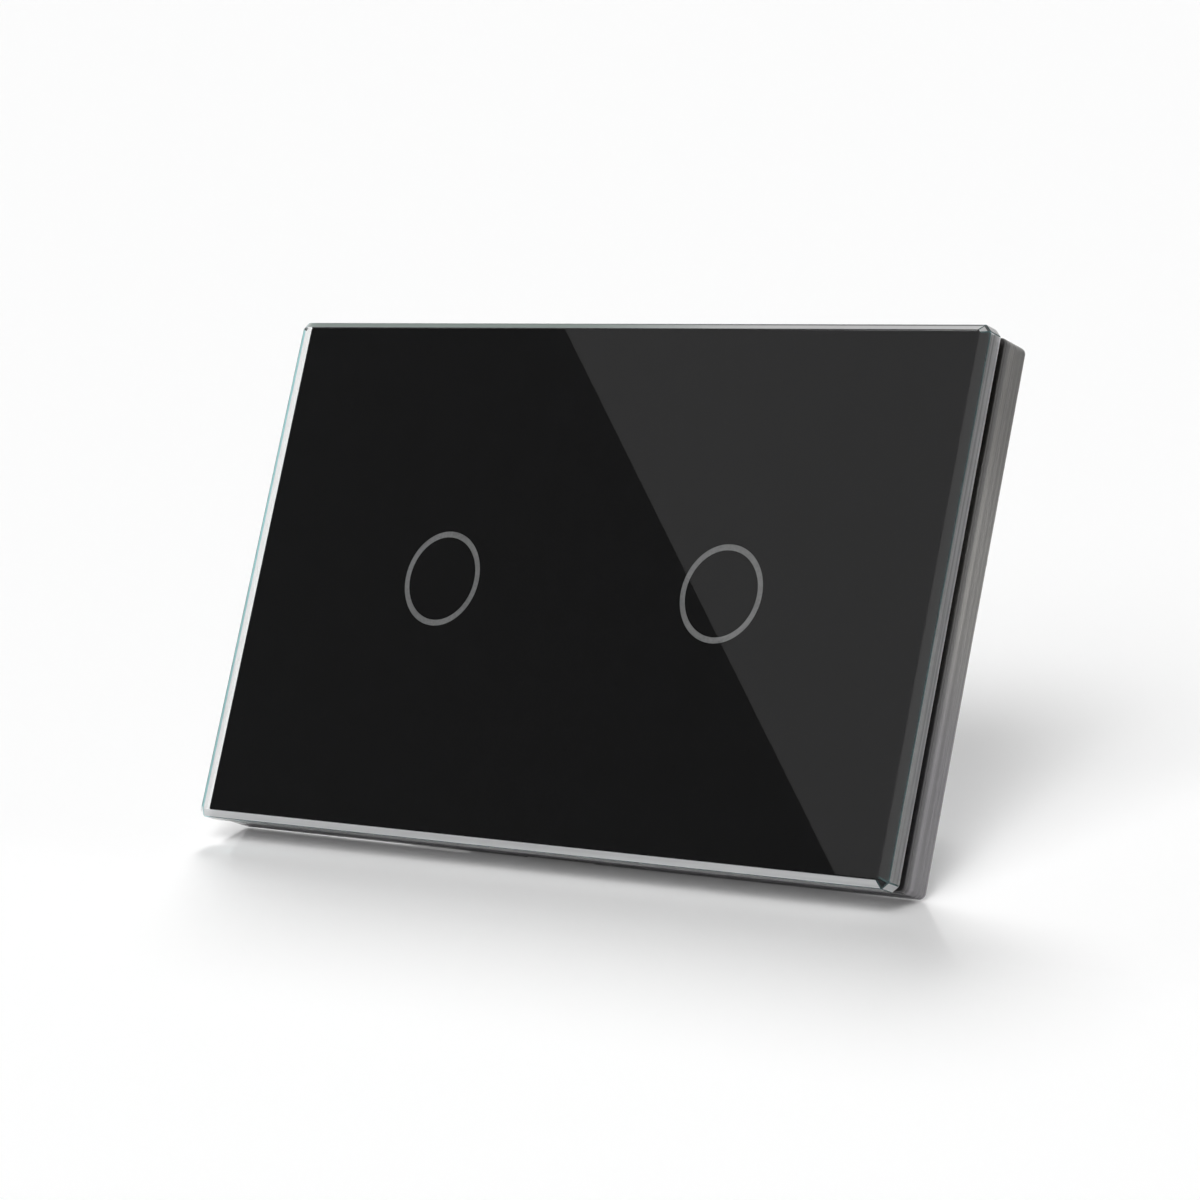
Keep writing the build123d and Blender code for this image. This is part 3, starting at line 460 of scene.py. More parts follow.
def turned_finish(name, colour, rough, centre, corners=False):
    """Plated screw metal with turned rings round each screw's own middle."""
    finish, tree, shader = new_finish(name, Metallic=1.0)
    point = object_point(tree)
    if corners:
        point = place(tree, "ShaderNodeVectorMath", {0: point}, operation="ABSOLUTE").outputs[0]
    rings = effect(tree, "Turned rings", Vector=centred(tree, point, *centre))
    marks = effect(tree, "Handling marks", Vector=point, Scale=220.0)
    base = mixed(tree, marks["Smears"], shade(colour, 1.06), shade(colour, 0.78))
    shine = spread(tree, rings["Rings"], 0.3, 0.7, rough - 0.05, rough + 0.12, smooth=False)
    feed(tree, shader, Base_Color=base, Roughness=shine)
    relief(tree, shader, rings["Rings"], 0.00001)
    return finish


def board_finish(name, mask, board):
    """Printed board with tracks under its solder mask, tinned pads and a bare laminate edge."""
    finish, tree, shader = new_finish(name, Coat_Weight=0.3)
    point = object_point(tree)
    copper = effect(tree, "Board tracks", Vector=point, Pitch=board.track_pitch)
    marks = effect(tree, "Handling marks", Vector=point, Scale=90.0)
    edge = fading(tree, along_y(tree, normal(tree)), 0.4, 0.6)
    pads = product(tree, copper["Pads"], math_node(tree, "SUBTRACT", 1.0, edge))
    face = mixed(tree, copper["Tracks"], mask, shade(mask, 1.9))
    face = mixed(tree, pads, face, board.pads)
    plies = effect(tree, "Drawn grain", Vector=point, Stretch=(0.6, 40.0, 0.6))
    bare = mixed(tree, plies["Lines"], shade(board.laminate, 0.6), shade(board.laminate, 1.2))
    rough = spread(tree, marks["Smears"], 0.0, 1.0, 0.36, 0.26, smooth=False)
    rough = math_node(tree, "ADD", rough, product(tree, edge, 0.4))
    feed(tree, shader, Base_Color=mixed(tree, edge, face, bare), Roughness=rough, Metallic=pads)
    lift = math_node(tree, "ADD", copper["Tracks"], product(tree, pads, 2.0))
    relief(tree, shader, lift, 0.00003)
    return finish


def wound_finish(name, colour, pitch, rough, metal=0.0, depth=0.00006):
    """Wire, tape or sleeve with the ridges of its turns."""
    finish, tree, shader = new_finish(name, Metallic=metal)
    point = object_point(tree)
    turns = effect(tree, "Turns of wire", Vector=point, Pitch=pitch)
    marks = effect(tree, "Handling marks", Vector=point, Scale=160.0)
    base = mixed(tree, turns["Tone"], shade(colour, 0.8), shade(colour, 1.15))
    shine = spread(tree, marks["Smears"], 0.0, 1.0, rough, rough + 0.12, smooth=False)
    feed(tree, shader, Base_Color=base, Roughness=shine)
    relief(tree, shader, turns["Ridges"], depth, 0.8)
    return finish


def dipped_finish(name, colour, swell, rough):
    """Glossy coat or moulding, softly uneven."""
    finish, tree, shader = new_finish(name, Coat_Weight=0.5, Coat_Roughness=0.08)
    point = object_point(tree)
    waves = noise(tree, point, 260.0)
    marks = effect(tree, "Handling marks", Vector=point, Scale=120.0)
    base = mixed(tree, waves, shade(colour, 0.82), shade(colour, 1.15))
    shine = spread(tree, marks["Smears"], 0.0, 1.0, rough, rough + 0.1, smooth=False)
    feed(tree, shader, Base_Color=base, Roughness=shine)
    relief(tree, shader, waves, swell)
    return finish


def foam_finish(name, colour):
    """Closed cell foam, cut clean."""
    finish, tree, shader = new_finish(name, Roughness=0.95)
    depth = cell_depth(tree, object_point(tree), 5200.0)
    feed(tree, shader, Base_Color=mixed(tree, depth, shade(colour, 0.5), colour))
    relief(tree, shader, depth, 0.00005, 0.6)
    return finish


def corner_screw_finish(name, node, radius, colour, rough):
    """Turned metal for four screws that stand in the corners of their node's box."""
    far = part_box(node)[1]
    return turned_finish(name, colour, rough, (far[0] - radius, far[2] - radius), corners=True)


def middle(node):
    """The middle of a CAD node's box."""
    low, high = (Vector(corner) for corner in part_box(node))
    return (low + high) / 2


def dress(finish, *names):
    """Gives CAD nodes their finish."""
    for name in names:
        for held in frame["nodes"][name].material_slots:
            held.material = finish


def deselect():
    """Leaves nothing selected and nothing in edit mode."""
    if bpy.context.object and bpy.context.object.mode != "OBJECT":
        bpy.ops.object.mode_set(mode="OBJECT")
    bpy.ops.object.select_all(action="DESELECT")


def settle():
    """Moves the active object's place into its mesh."""
    bpy.ops.object.transform_apply(location=True, rotation=True, scale=True)


def pick_edges(piece, test):
    """Selects a piece's edges by a test, in edit mode."""
    bpy.ops.mesh.select_mode(type="EDGE")
    bpy.ops.mesh.select_all(action="DESELECT")
    mesh = bmesh.from_edit_mesh(piece.data)
    for edge in mesh.edges:
        if test(edge):
            edge.select_set(True)
    mesh.select_flush_mode()
    bmesh.update_edit_mesh(piece.data)


class SWITCH_OT_glass(bpy.types.Operator):
    """Models the bevelled glass plate and gives it polished and ground finishes"""

    bl_idname = "touch_switch.glass"
    bl_label = "Glass plate"

    def execute(self, context):
        glass = context.scene.glass_settings
        deselect()
        low, high = GLASS_LOW, GLASS_HIGH + Vector((0, glass.ink_bite, 0))
        bpy.ops.mesh.primitive_cube_add(size=1, location=(low + high) / 2, scale=high - low)
        plate = context.object
        plate.name = "glass_plate"
        settle()
        bpy.ops.object.mode_set(mode="EDIT")
        pick_edges(plate, lambda edge: abs(edge.verts[0].co.y - edge.verts[1].co.y) > NEAR)
        bpy.ops.mesh.bevel(offset=glass.corner_cut, segments=1, affect="EDGES")
        for level, width in ((low.y, glass.bevel), (high.y, glass.rear_arris)):
            pick_edges(plate, lambda edge: all(abs(end.co.y - level) < NEAR for end in edge.verts))
            bpy.ops.mesh.bevel(offset=width, segments=1, affect="EDGES")
        bpy.ops.mesh.select_all(action="SELECT")
        bpy.ops.mesh.normals_make_consistent(inside=False)
        bpy.ops.object.mode_set(mode="OBJECT")
        for finish in (self.polished(), self.ground(glass), self.bevelled(glass), self.edge_line(glass)):
            plate.data.materials.append(finish)
        for face in plate.data.polygons:
            face.material_index = self.finish_of(face.normal)
        soften = plate.modifiers.new("Polishing wheel", "BEVEL")
        soften.width = glass.softness
        soften.segments = 2
        soften.limit_method = "ANGLE"
        soften.angle_limit = SHARP
        soften.material = EDGE_LINE
        bpy.ops.object.modifier_apply(modifier=soften.name)
        # The softened strips are polished beside the front and ground beside the back.
        least, most = FRONT_STRIPS
        for face in plate.data.polygons:
            if least < face.normal.y < most:
                face.material_index = POLISHED
            elif face.material_index == EDGE_LINE and face.normal.y > REAR_STRIPS:
                face.material_index = GROUND
        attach(plate, "fascia")
        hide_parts("glass_panel")
        return {"FINISHED"}

    def finish_of(self, facing):
        """Polished, ground side or ground bevel, by where a face looks."""
        across, deep, up = facing
        if abs(deep) > FLAT:
            return POLISHED
        corner = min(abs(across), abs(up)) > CORNERED
        if deep < -SLOPED:
            return BEVELLED if (up > 0 if corner else abs(up) > abs(across)) else POLISHED
        return BEVELLED if corner else GROUND

    def polished(self):
        """Clear float glass with faint fingermarks."""
        finish, tree, shader = new_finish("Float glass", IOR=1.5, Roughness=0.0, Transmission_Weight=1.0)
        marks = effect(tree, "Handling marks", Vector=object_point(tree), Scale=28.0)
        smeared = mixed(tree, marks["Smears"], (0.987, 0.996, 0.994), (0.98, 0.992, 0.99))
        feed(tree, shader, Base_Color=smeared)
        return finish

    def ground(self, glass):
        """Ground side with streaks along it. The left one shows sea green through the glass."""
        finish, tree, shader = new_finish(
            "Ground glass side",
            IOR=1.08,
            Transmission_Weight=0.8,
            Coat_Weight=1.0,
            Coat_Roughness=0.35,
            Coat_IOR=1.6,
        )
        point = object_point(tree)
        streaks = effect(tree, "Drawn grain", Vector=point, Stretch=(0.3, 22.0, 0.3))
        lines = spread(tree, streaks["Lines"], 0.38, 0.62)
        outside = mixed(tree, lines, shade(glass.ground, 0.5), glass.ground)
        x, y, _ = axes(tree, point)
        green_end = GLASS_LOW.y + glass.green_depth
        rear = spread(tree, y, green_end, green_end + GREEN_FADE)
        left_end = GLASS_LOW.x + glass.bevel
        right = spread(tree, x, left_end - glass.bevel / 2, left_end)
        white = math_node(tree, "MAXIMUM", rear, right)
        through = mixed(tree, white, glass.edge, (1.0, 1.0, 1.0))
        inside = place(tree, "ShaderNodeNewGeometry").outputs["Backfacing"]
        rough = spread(tree, lines, 0.0, 1.0, 0.8, 1.0)
        feed(tree, shader, Base_Color=mixed(tree, inside, outside, through), Roughness=rough)
        relief(tree, shader, streaks["Lines"], 0.00003, 0.4)
        return finish

    def bevelled(self, glass):
        """Ground bevel with the wheel's fine lines. The top is painted darker than the other bevels,
        darker and greener on its left, with a painted dark line along its border.
        """
        finish, tree, shader = new_finish("Ground glass bevel", IOR=1.5, Transmission_Weight=0.25)
        point = object_point(tree)
        streaks = effect(tree, "Drawn grain", Vector=point, Stretch=(0.3, 18.0, 18.0))
        lines = spread(tree, streaks["Lines"], 0.3, 0.7)
        frost = mixed(tree, lines, shade(glass.bevel_colour, 0.86), glass.bevel_colour)
        x, y, _ = axes(tree, point)
        right = spread(tree, x, *TOP_SHADE_FADE)
        left_end = GLASS_LOW.x + glass.bevel
        inward = spread(tree, x, left_end, left_end + glass.bevel)
        outer = GLASS_LOW.y + glass.bevel * BORDER_START
        inner = GLASS_LOW.y + glass.bevel + glass.softness
        start, end = BORDER_FADE
        behind = spread(tree, y, outer - start, outer + start)
        before = fading(tree, y, inner, inner + end)
        border = product(tree, product(tree, behind, before), inward)
        ends = math_node(tree, "MAXIMUM", right, math_node(tree, "SUBTRACT", 1.0, inward))
        # Painted shade: the top bevel is painted darker than the others, grey on its right and dark sea
        # green on its left
        painted_top = mixed(tree, ends, (0.18, 0.23, 0.21), (0.52, 0.52, 0.52))
        # Painted shade: a dark line painted along the top bevel's outer border
        line = mixed(tree, right, (0.14, 0.18, 0.165), (0.03, 0.03, 0.03))
        top = spread(tree, axes(tree, normal(tree))[2], 0.2, 0.4)
        colour = mixed(tree, top, frost, mixed(tree, border, painted_top, line))
        feed(tree, shader, Base_Color=colour, Roughness=spread(tree, lines, 0.0, 1.0, 0.3, 0.45))
        relief(tree, shader, streaks["Lines"], 0.00002, 0.3)
        return finish

    def edge_line(self, glass):
        """Thin arris that looks deep into the glass, sea green."""
        finish, tree, shader = new_finish("Glass edge line", IOR=1.5, Transmission_Weight=0.9)
        streaks = effect(tree, "Drawn grain", Vector=object_point(tree), Stretch=(0.5, 6.0, 0.5))
        lines = streaks["Lines"]
        colour = mixed(tree, lines, shade(glass.edge, 0.7), shade(glass.edge, 1.3))
        feed(tree, shader, Base_Color=colour, Roughness=spread(tree, lines, 0.3, 0.7, 0.12, 0.25))
        return finish


class SWITCH_OT_print(bpy.types.Operator):
    """Gives the print behind the glass and the two ring windows their inks"""

    bl_idname = "touch_switch.print"
    bl_label = "Print and ring windows"

    def execute(self, context):
        glass = context.scene.glass_settings
        dress(self.ink("Black back print", glass.ink, 1.15, 2600.0), "back_print")
        ring_ink = self.ink("Grey ring print", glass.ring, 1.12, 3200.0)
        dress(ring_ink, "ring_window_left", "ring_window_right")
        return {"FINISHED"}

    def ink(self, name, colour, variation, mesh):
        """Screen printed ink with the screen's fine weave and slow clouds, wet to the glass."""
        finish, tree, shader = new_finish(name, Specular_IOR_Level=0.0)
        point = object_point(tree)
        weave = noise(tree, point, mesh, Detail=1.0)
        both = product(tree, weave, noise(tree, point, 160.0))
        tone = spread(tree, both, 0.1, 0.4)
        base = mixed(tree, tone, shade(colour, 1 / variation), shade(colour, variation))
        feed(tree, shader, Base_Color=base, Roughness=spread(tree, weave, 0.3, 0.7, 0.4, 0.6))
        return finish


class SWITCH_OT_frame(bpy.types.Operator):
    """Gives the frame behind the glass and its foam tape their finishes"""

    bl_idname = "touch_switch.frame"
    bl_label = "Frame and foam tape"

    def execute(self, context):
        moulding = context.scene.moulding_settings
        dress(self.satin(moulding), "panel_frame")
        dress(foam_finish("Foam tape", moulding.foam), "foam_tape")
        return {"FINISHED"}

    def satin(self, moulding):
        """Satin moulding with streaks, grain and ejector marks, with painted shade and highlight bands
        along its sides and painted shade along its height.
        """
        finish, tree, shader = new_finish("Satin frame", Coat_Weight=0.5, Coat_Roughness=0.12)
        point = object_point(tree)
        colour = moulding.frame
        streaks = effect(tree, "Drawn grain", Vector=point, Stretch=(0.25, 26.0, 0.25))
        grain = effect(tree, "Spark texture", Vector=point, Size=moulding.grain * 0.5)
        marks = effect(tree, "Handling marks", Vector=point, Scale=40.0)
        pins = effect(tree, "Ejector marks", Vector=point, Normal=normal(tree), Pitch=0.0165)
        lines = spread(tree, streaks["Lines"], 0.36, 0.64)
        _, y, z = axes(tree, point)
        depth = spread(tree, y, FRAME_LOW.y, FRAME_HIGH.y, smooth=False)
        height = spread(tree, z, FRAME_LOW.z, FRAME_HIGH.z, smooth=False)
        # Painted shade and reflection along the height: cooler and dimmer low down, darker near the top
        cool, warm, dark = (0.8, 0.79, 0.86), (1.0, 1.0, 0.96), (0.5, 0.49, 0.46)
        height_shade = mixed(tree, spread(tree, height, 0.2, 0.55), cool, warm)
        height_shade = mixed(tree, spread(tree, height, 0.6, 0.9), height_shade, dark)
        clouds = spread(tree, grain["Shine"], 0.35, 0.65)
        tone = mixed(tree, clouds, shade(colour, 0.96), shade(colour, 1.04))
        tone = mixed(tree, product(tree, lines, 0.7), tone, shade(colour, 0.55))
        # Painted shade and highlights: the bands along the depth and the shade along the height scale the
        # colour
        tone = times(tree, times(tree, tone, self.bands(tree, depth)), height_shade)
        rings = product(tree, pins["Marks"], 0.5)
        tone = mixed(tree, rings, tone, shade(colour, 0.5))
        shine = spread(tree, lines, 0.0, 1.0, 0.2, 0.34)
        shine = math_node(tree, "ADD", shine, product(tree, marks["Smears"], 0.06))
        feed(tree, shader, Base_Color=tone, Roughness=shine)
        both = math_node(tree, "ADD", grain["Height"], streaks["Lines"])
        relief(tree, shader, both, 0.000008)
        return finish

    def bands(self, tree, depth):
        """Painted shade and highlight bands round the frame's side, from its front to its back: dark
        under the glass, a pale highlight line, then a darker strip and a pale rim at the back.
        """
        node = place(tree, "ShaderNodeValToRGB", {0: depth})
        stops = node.color_ramp.elements
        for share, pale in FRAME_SHADE_BANDS:
            stops.new(share).color = (*(pale * part for part in BAND_TINT), 1)
        for spare in (stops[-1], stops[0]):
            stops.remove(spare)
        return node.outputs["Color"]


class SWITCH_OT_wall_fixing(bpy.types.Operator):
    """Gives the steel strap and the cover screws their finishes"""

    bl_idname = "touch_switch.wall_fixing"
    bl_label = "Strap and cover screws"

    def execute(self, context):
        metal = context.scene.metal_settings
        strap = metal_finish("Zinc plated strap", metal.zinc, 0.3, depth=0.000003, edges=0.6, cells=0.08)
        dress(strap, "mounting_strap")
        screw = corner_screw_finish("Cover screw", "cover_screws", COVER_SCREW_RADIUS, metal.nickel, 0.22)
        dress(screw, "cover_screws")
        return {"FINISHED"}


class SWITCH_OT_housing(bpy.types.Operator):
    """Gives the rear housing and the touch cover their finishes"""

    bl_idname = "touch_switch.housing"
    bl_label = "Housing and touch cover"

    def execute(self, context):
        moulding = context.scene.moulding_settings
        grain = moulding.grain
        housing = moulded_finish("Rear housing", moulding.housing, grain, 0.5, 0.00005, ejectors=0.019)
        dress(housing, "rear_housing")
        cover = moulded_finish("Touch cover", moulding.cover, grain * 0.7, 0.42, 0.00001, ejectors=0.0225)
        dress(cover, "touch_cover")
        return {"FINISHED"}


class SWITCH_OT_touch_electronics(bpy.types.Operator):
    """Gives the touch board, its lamps, guides, pads, chip and connector their finishes"""

    bl_idname = "touch_switch.touch_electronics"
    bl_label = "Touch electronics"

    def execute(self, context):
        scene = context.scene
        board, metal, moulding = scene.board_settings, scene.metal_settings, scene.moulding_settings
        dress(board_finish("Touch board", board.touch_mask, board), "touch_board")
        dress(self.lamp(), "touch_lamps")
        dress(self.light_guide(), "light_ring_left", "light_ring_right")
        pads = foam_finish("Conductive foam", (0.1, 0.1, 0.105))
        dress(pads, "touch_electrode_left", "touch_electrode_right")
        grain = moulding.grain * 0.5
        chip = moulded_finish("Moulded chip", (0.028, 0.028, 0.03), grain, 0.62, 0.000012)
        dress(chip, "touch_controller")
        dress(moulded_finish("Bridge rectifier", (0.03, 0.03, 0.03), grain, 0.5, 0.00001), "rectifier")
        header = moulded_finish("Board connector", (0.022, 0.022, 0.022), grain, 0.45, 0.000008)
        dress(header, "header_base", "header_socket")
        dress(metal_finish("Gold flashed pins", metal.gold, 0.2, ALONG_PINS), "header_pins")
        return {"FINISHED"}

    def lamp(self):
        """White lamp body with a yellow window to the front."""
        finish, tree, shader = new_finish("Lamp", Coat_Weight=0.4)
        speckle = noise(tree, object_point(tree), 4200.0)
        front = fading(tree, axes(tree, normal(tree))[1], -0.9, -0.6)
        yellow = mixed(tree, speckle, (0.72, 0.6, 0.05), (0.86, 0.76, 0.16))
        base = mixed(tree, front, (0.8, 0.8, 0.76), yellow)
        feed(tree, shader, Base_Color=base, Roughness=spread(tree, speckle, 0.3, 0.7, 0.3, 0.5))
        return finish

    def light_guide(self):
        """Clear acrylic with a fine frost where the light leaves."""
        finish, tree, shader = new_finish(
            "Light guide", Base_Color=(0.94, 0.96, 0.96), IOR=1.49, Transmission_Weight=0.9
        )
        frost = noise(tree, object_point(tree), 2400.0)
        feed(tree, shader, Roughness=spread(tree, frost, 0.3, 0.7, 0.06, 0.3))
        relief(tree, shader, frost, 0.00001)
        return finish


class SWITCH_OT_power_board(bpy.types.Operator):
    """Gives the power board and the supply parts on it their finishes"""

    bl_idname = "touch_switch.power_board"
    bl_label = "Power board"

    def execute(self, context):
        scene = context.scene
        board, metal = scene.board_settings, scene.metal_settings
        dress(board_finish("Power board", board.power_mask, board), "power_board")
        screw = corner_screw_finish("Board screw", "board_screws", BOARD_SCREW_RADIUS, metal.nickel, 0.24)
        dress(screw, "board_screws")
        dress(dipped_finish("Film capacitor", board.film, 0.00003, 0.25), "film_capacitor")
        dress(dipped_finish("Varistor", board.varistor, 0.0002, 0.2), "varistor")
        dress(dipped_finish("Fuse", board.fuse, 0.00002, 0.35), "fuse")
        dress(self.can(board), "smoothing_capacitor")
        dress(self.ferrite(), "transformer_core")
        dress(wound_finish("Coil tape", board.tape, 0.0011, 0.25), "transformer_coil")
        dress(wound_finish("Choke sleeve", (0.03, 0.03, 0.034), 0.0006, 0.4), "choke")
        return {"FINISHED"}

    def can(self, board):
        """Aluminium can in a dark sleeve with a pale stripe, its end scored with a cross."""
        centre = middle("smoothing_capacitor")
        finish, tree, shader = new_finish("Sleeved can", Coat_Weight=0.2)
        point = object_point(tree)
        x, _, z = axes(tree, centred(tree, point, centre.x, centre.z))
        grain = effect(tree, "Drawn grain", Vector=point, Stretch=(12.0, 12.0, 12.0))
        end = spread(tree, axes(tree, normal(tree))[1], 0.7, 0.9)
        left = fading(tree, x, *STRIPE_EDGE)
        off_x, off_z = (math_node(tree, "ABSOLUTE", way) for way in (x, z))
        stripe = product(tree, left, fading(tree, off_z, *STRIPE_HALF))
        sleeve = mixed(tree, stripe, board.sleeve, (0.6, 0.62, 0.64))
        metal = mixed(tree, grain["Lines"], (0.6, 0.61, 0.62), (0.78, 0.79, 0.8))
        cross = fading(tree, math_node(tree, "MINIMUM", off_x, off_z), *SCORE_HALF)
        score = product(tree, cross, end)
        base = mixed(tree, score, mixed(tree, end, sleeve, metal), (0.3, 0.3, 0.31))
        rough = spread(tree, end, 0.0, 1.0, 0.3, 0.38)
        feed(tree, shader, Base_Color=base, Metallic=end, Roughness=rough)
        relief(tree, shader, math_node(tree, "SUBTRACT", 1.0, score), 0.0001)
        return finish

    def ferrite(self):
        """Sintered ferrite, dark and slightly sparkling."""
        finish, tree, shader = new_finish("Ferrite")
        crystals = cell_depth(tree, object_point(tree), 7000.0)
        base = mixed(tree, crystals, (0.05, 0.05, 0.055), (0.11, 0.11, 0.115))
        feed(tree, shader, Base_Color=base, Roughness=spread(tree, crystals, 0.1, 0.8, 0.4, 0.6))
        relief(tree, shader, crystals, 0.00002)
        return finish


class SWITCH_OT_terminals(bpy.types.Operator):
    """Gives the terminal block, bars, cages and clamp screws their finishes"""

    bl_idname = "touch_switch.terminals"
    bl_label = "Terminals"

    def execute(self, context):
        metal, moulding = context.scene.metal_settings, context.scene.moulding_settings
        block = moulded_finish("Terminal block", moulding.terminal, moulding.grain * 0.7, 0.4, 0.00001)
        dress(block, "terminal_block")
        dress(metal_finish("Tinned bar", metal.tin, 0.26, ALONG_Y, edges=0.85), "contact_bars")
        cage = metal_finish("Terminal cage", metal.zinc, 0.3, ALONG_Y, edges=0.8)
        for pole in (1, 2, 3):
            dress(cage, f"clamp_cage_{pole}")
            centre = middle(f"clamp_screw_{pole}")
            screw = turned_finish(f"Clamp screw {pole}", metal.nickel, 0.24, (centre.x, centre.z))
            dress(screw, f"clamp_screw_{pole}")
        return {"FINISHED"}


class SWITCH_OT_relays(bpy.types.Operator):
    """Gives both relays' cases, iron, coils, blades and contacts their finishes"""

    bl_idname = "touch_switch.relays"
    bl_label = "Relays"

    def execute(self, context):
        metal, moulding = context.scene.metal_settings, context.scene.moulding_settings
        grain = moulding.grain
        finishes = {
            "case": dipped_finish("Relay case", moulding.relay, 0.000012, 0.22),
            "base": moulded_finish("Relay base", (0.03, 0.03, 0.034), grain * 0.5, 0.48, 0.000008),
            "yoke": metal_finish("Plated iron", metal.iron, 0.3, ALONG_Y, edges=0.9),
            "bobbin": moulded_finish("Bobbin nylon", moulding.bobbin, grain, 0.45, 0.000006),
            "winding": wound_finish("Enamelled wire", metal.copper, 0.00018, 0.24, 0.9, 0.00004),
            "blade": metal_finish("Rolled bronze", metal.bronze, 0.24, ALONG_X, edges=0.8),
            "contact": metal_finish("Fixed contact", metal.tin, 0.28, ALONG_Y, edges=0.85),
        }
        finishes["core"] = finishes["armature"] = finishes["yoke"]
        for side in ("left", "right"):
            for piece, finish in finishes.items():
                dress(finish, f"relay_{piece}_{side}")
        return {"FINISHED"}


class SWITCH_OT_stage(bpy.types.Operator):
    """Builds the floor, the card in front, the lights and the camera"""

    bl_idname = "touch_switch.stage"
    bl_label = "Studio and camera"

    def execute(self, context):
        studio = context.scene.studio_settings
        context.scene.view_settings.view_transform = "Standard"
        self.floor(studio)
        self.front_card(studio)
        self.surround(context, studio)
        for name, (*aim, strength) in SOFTBOXES.items():
            self.softbox(name, studio.floor_lean, aim, getattr(studio, strength))
        self.camera(context)
        return {"FINISHED"}

    def floor(self, studio):
        """White floor under the two edges that the switch rests on, clear from below."""
        deselect()
        bpy.ops.mesh.primitive_plane_add(size=STAGE_SIZE, location=(0, 0, FRAME_LOW.z))
        floor = bpy.context.object
        floor.name = "floor"
        floor.rotation_euler = (studio.floor_lean, 0, 0)
        finish, tree = bare_finish("Studio floor")
        paper = place(tree, "ShaderNodeBsdfDiffuse", {"Color": (*studio.floor_colour, 1)})
        polish = place(tree, "ShaderNodeBsdfGlossy", {"Color": (1, 1, 1, 1), "Roughness": 0.05})
        share = spread(tree, axes(tree, object_point(tree))[1], *POLISH_EDGE, 0.0, studio.floor_polish)
        board = place(tree, "ShaderNodeMixShader", {0: share, 1: paper.outputs[0], 2: polish.outputs[0]})
        ray = place(tree, "ShaderNodeLightPath")
        seen = product(tree, ray.outputs["Is Camera Ray"], studio.floor_lift)
        lift = place(tree, "ShaderNodeEmission", {"Strength": seen})
        top = place(tree, "ShaderNodeAddShader", {0: board.outputs[0], 1: lift.outputs[0]})
        clear = place(tree, "ShaderNodeBsdfTransparent")
        under = place(tree, "ShaderNodeNewGeometry").outputs["Backfacing"]
        whole = place(tree, "ShaderNodeMixShader", {0: under, 1: top.outputs[0], 2: clear.outputs[0]})
        place(tree, "ShaderNodeOutputMaterial", {"Surface": whole.outputs[0]})
        floor.data.materials.append(finish)

    def front_card(self, studio):
        """Card that only reflections see, dark with a paler side."""
        deselect()
        turn = (math.pi / 2, 0, 0)
        bpy.ops.mesh.primitive_plane_add(size=STAGE_SIZE, location=(0, -CARD_DISTANCE, 0), rotation=turn)
        card = bpy.context.object
        card.name = "front_card"
        settle()
        finish, tree = bare_finish("Front card")
        x, _, z = axes(tree, object_point(tree))
        first, second = CARD_EDGE
        across = Vector((first.y - second.y, second.x - first.x)).normalized()
        reach = math_node(tree, "ADD", product(tree, x, across.x), product(tree, z, across.y))
        distance = math_node(tree, "SUBTRACT", reach, across.dot(first))
        grey = spread(tree, distance, -CARD_BLUR, CARD_BLUR, studio.dark_card, studio.pale_card)
        far = spread(tree, x, *CARD_GAIN, 0.0, studio.far_card)
        light = place(tree, "ShaderNodeEmission", {"Strength": math_node(tree, "ADD", grey, far)})
        place(tree, "ShaderNodeOutputMaterial", {"Surface": light.outputs[0]})
        card.data.materials.append(finish)
        for kind in ("camera", "diffuse", "shadow", "volume_scatter"):
            setattr(card, f"visible_{kind}", False)

    def surround(self, context, studio):
        """White to the eye, to gloss and through glass, and a softer light elsewhere."""
        world = bpy.data.worlds.new("Studio surround")
        context.scene.world = world
        world.use_nodes = True
        tree = world.node_tree
        tree.nodes.clear()
        ray = place(tree, "ShaderNodeLightPath")
        seen = math_node(tree, "MAXIMUM", ray.outputs["Is Camera Ray"], ray.outputs["Is Glossy Ray"])
        seen = math_node(tree, "MAXIMUM", seen, ray.outputs["Is Transmission Ray"])
        x = axes(tree, place(tree, "ShaderNodeTexCoord").outputs["Generated"])[0]
        soft = spread(tree, x, -0.6, 0.8, studio.surround, studio.surround * DIM_SIDE)
        strength = spread(tree, seen, 0.0, 1.0, soft, 1.0, smooth=False)
        light = place(tree, "ShaderNodeBackground", {"Strength": strength})
        place(tree, "ShaderNodeOutputWorld", {"Surface": light.outputs[0]})

    def softbox(self, name, lean, aim, strength):
        """Distant soft light, aimed by its height over the floor, its heading and its breadth."""
        up = Vector((0, -math.sin(lean), math.cos(lean)))
        back = Vector((0, math.cos(lean), math.sin(lean)))
        height, heading, breadth = (math.radians(angle) for angle in aim)
        level = back * math.cos(heading) + Vector((math.sin(heading), 0, 0))
        source = up * math.sin(height) + level * math.cos(height)
        light = bpy.data.lights.new(name, "SUN")
        light.energy = strength
        light.angle = breadth
        lamp = bpy.data.objects.new(name, light)
        lamp.rotation_euler = (-source).to_track_quat("-Z", "Y").to_euler()
        lamp.visible_camera = False
        lamp.visible_glossy = False
        bpy.context.scene.collection.objects.link(lamp)

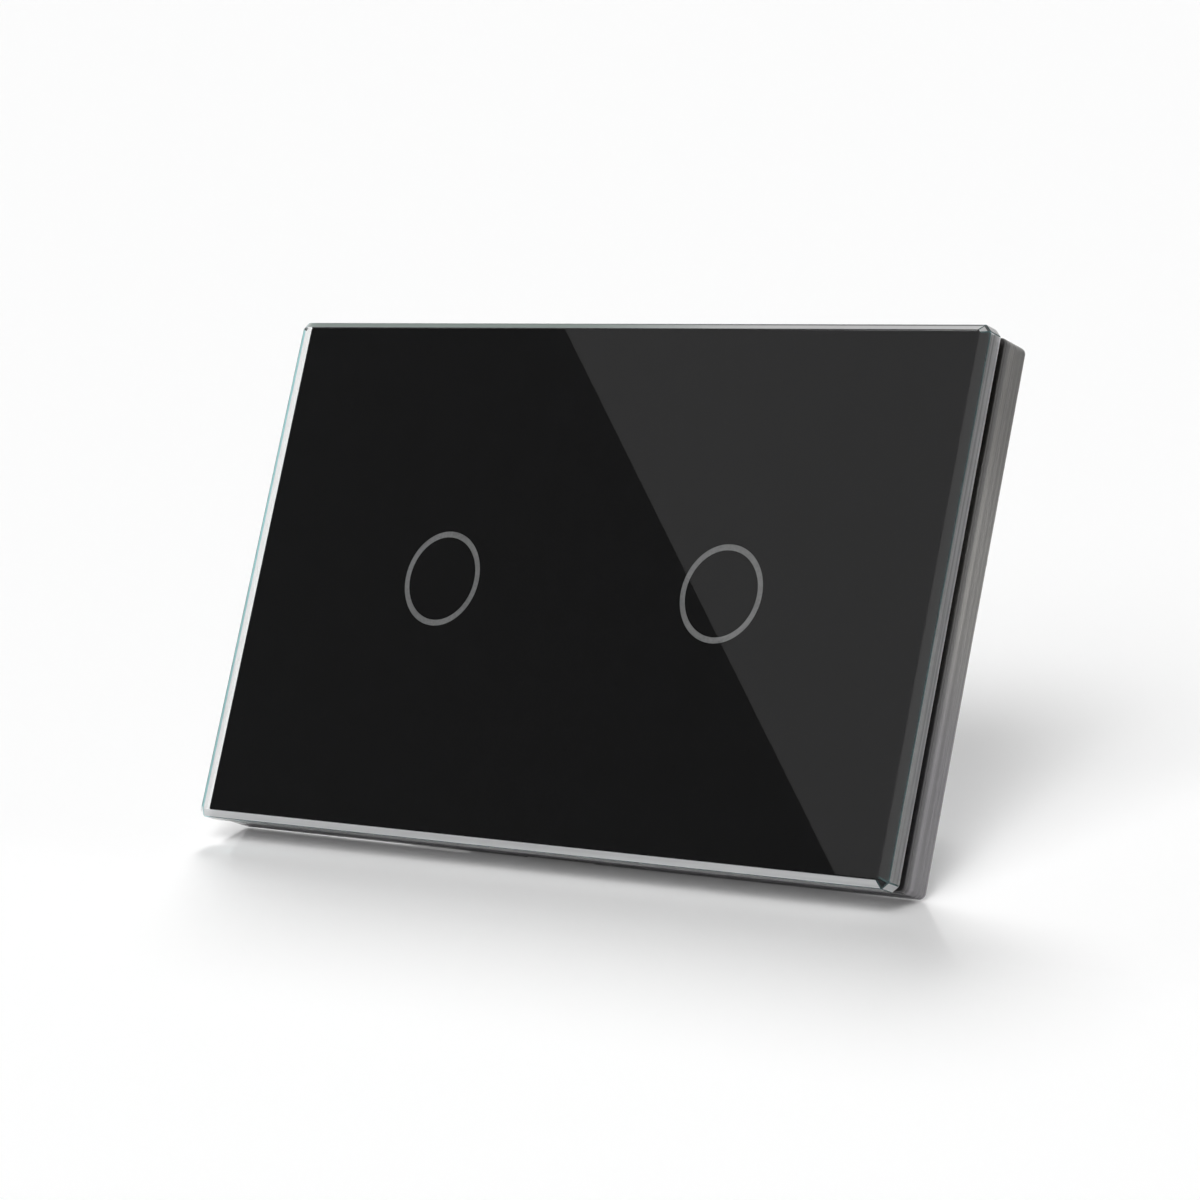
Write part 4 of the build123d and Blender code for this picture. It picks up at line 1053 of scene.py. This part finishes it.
    def camera(self, context):
        """Camera at the photograph's place."""
        lens = bpy.data.cameras.new("Photograph")
        lens.lens = LENS
        lens.sensor_width = SENSOR
        lens.clip_start = 0.01
        holder = bpy.data.objects.new("Photograph", lens)
        forward = CAMERA_FORWARD.normalized()
        right = (CAMERA_RIGHT - forward * CAMERA_RIGHT.dot(forward)).normalized()
        turn = Matrix((right, right.cross(forward), -forward)).transposed()
        holder.matrix_world = Matrix.Translation(CAMERA_PLACE) @ turn.to_4x4()
        context.scene.collection.objects.link(holder)
        context.scene.camera = holder


OPERATORS = (
    SWITCH_OT_glass,
    SWITCH_OT_print,
    SWITCH_OT_frame,
    SWITCH_OT_wall_fixing,
    SWITCH_OT_housing,
    SWITCH_OT_touch_electronics,
    SWITCH_OT_power_board,
    SWITCH_OT_terminals,
    SWITCH_OT_relays,
    SWITCH_OT_stage,
)
EFFECTS = (
    make_spark_texture,
    make_handling_marks,
    make_drawn_grain,
    make_turned_rings,
    make_ejector_marks,
    make_board_tracks,
    make_turns_of_wire,
)
SETTINGS = {
    "studio_settings": StudioSettings,
    "glass_settings": GlassSettings,
    "moulding_settings": MouldingSettings,
    "metal_settings": MetalSettings,
    "board_settings": BoardSettings,
}


class SWITCH_PT_panel(bpy.types.Panel):
    """Steps of the build and their settings"""

    bl_idname = "SWITCH_PT_panel"
    bl_label = "Touch light switch"
    bl_space_type = "VIEW_3D"
    bl_region_type = "UI"
    bl_category = "Touch switch"

    def draw(self, context):
        for kind in OPERATORS:
            self.layout.operator(kind.bl_idname)
        for name, kind in SETTINGS.items():
            box = self.layout.box()
            for label in kind.__annotations__:
                box.prop(getattr(context.scene, name), label)


def register():
    for kind in (*SETTINGS.values(), *OPERATORS, SWITCH_PT_panel):
        bpy.utils.register_class(kind)
    for name, kind in SETTINGS.items():
        setattr(bpy.types.Scene, name, PointerProperty(type=kind))


def unregister():
    for name in SETTINGS:
        delattr(bpy.types.Scene, name)
    for kind in reversed((*SETTINGS.values(), *OPERATORS, SWITCH_PT_panel)):
        bpy.utils.unregister_class(kind)


def main():
    """Builds the whole scene."""
    register()
    for make in EFFECTS:
        make()
    for kind in OPERATORS:
        group, name = kind.bl_idname.split(".")
        getattr(getattr(bpy.ops, group), name)()


if __name__ == "__main__":
    main()
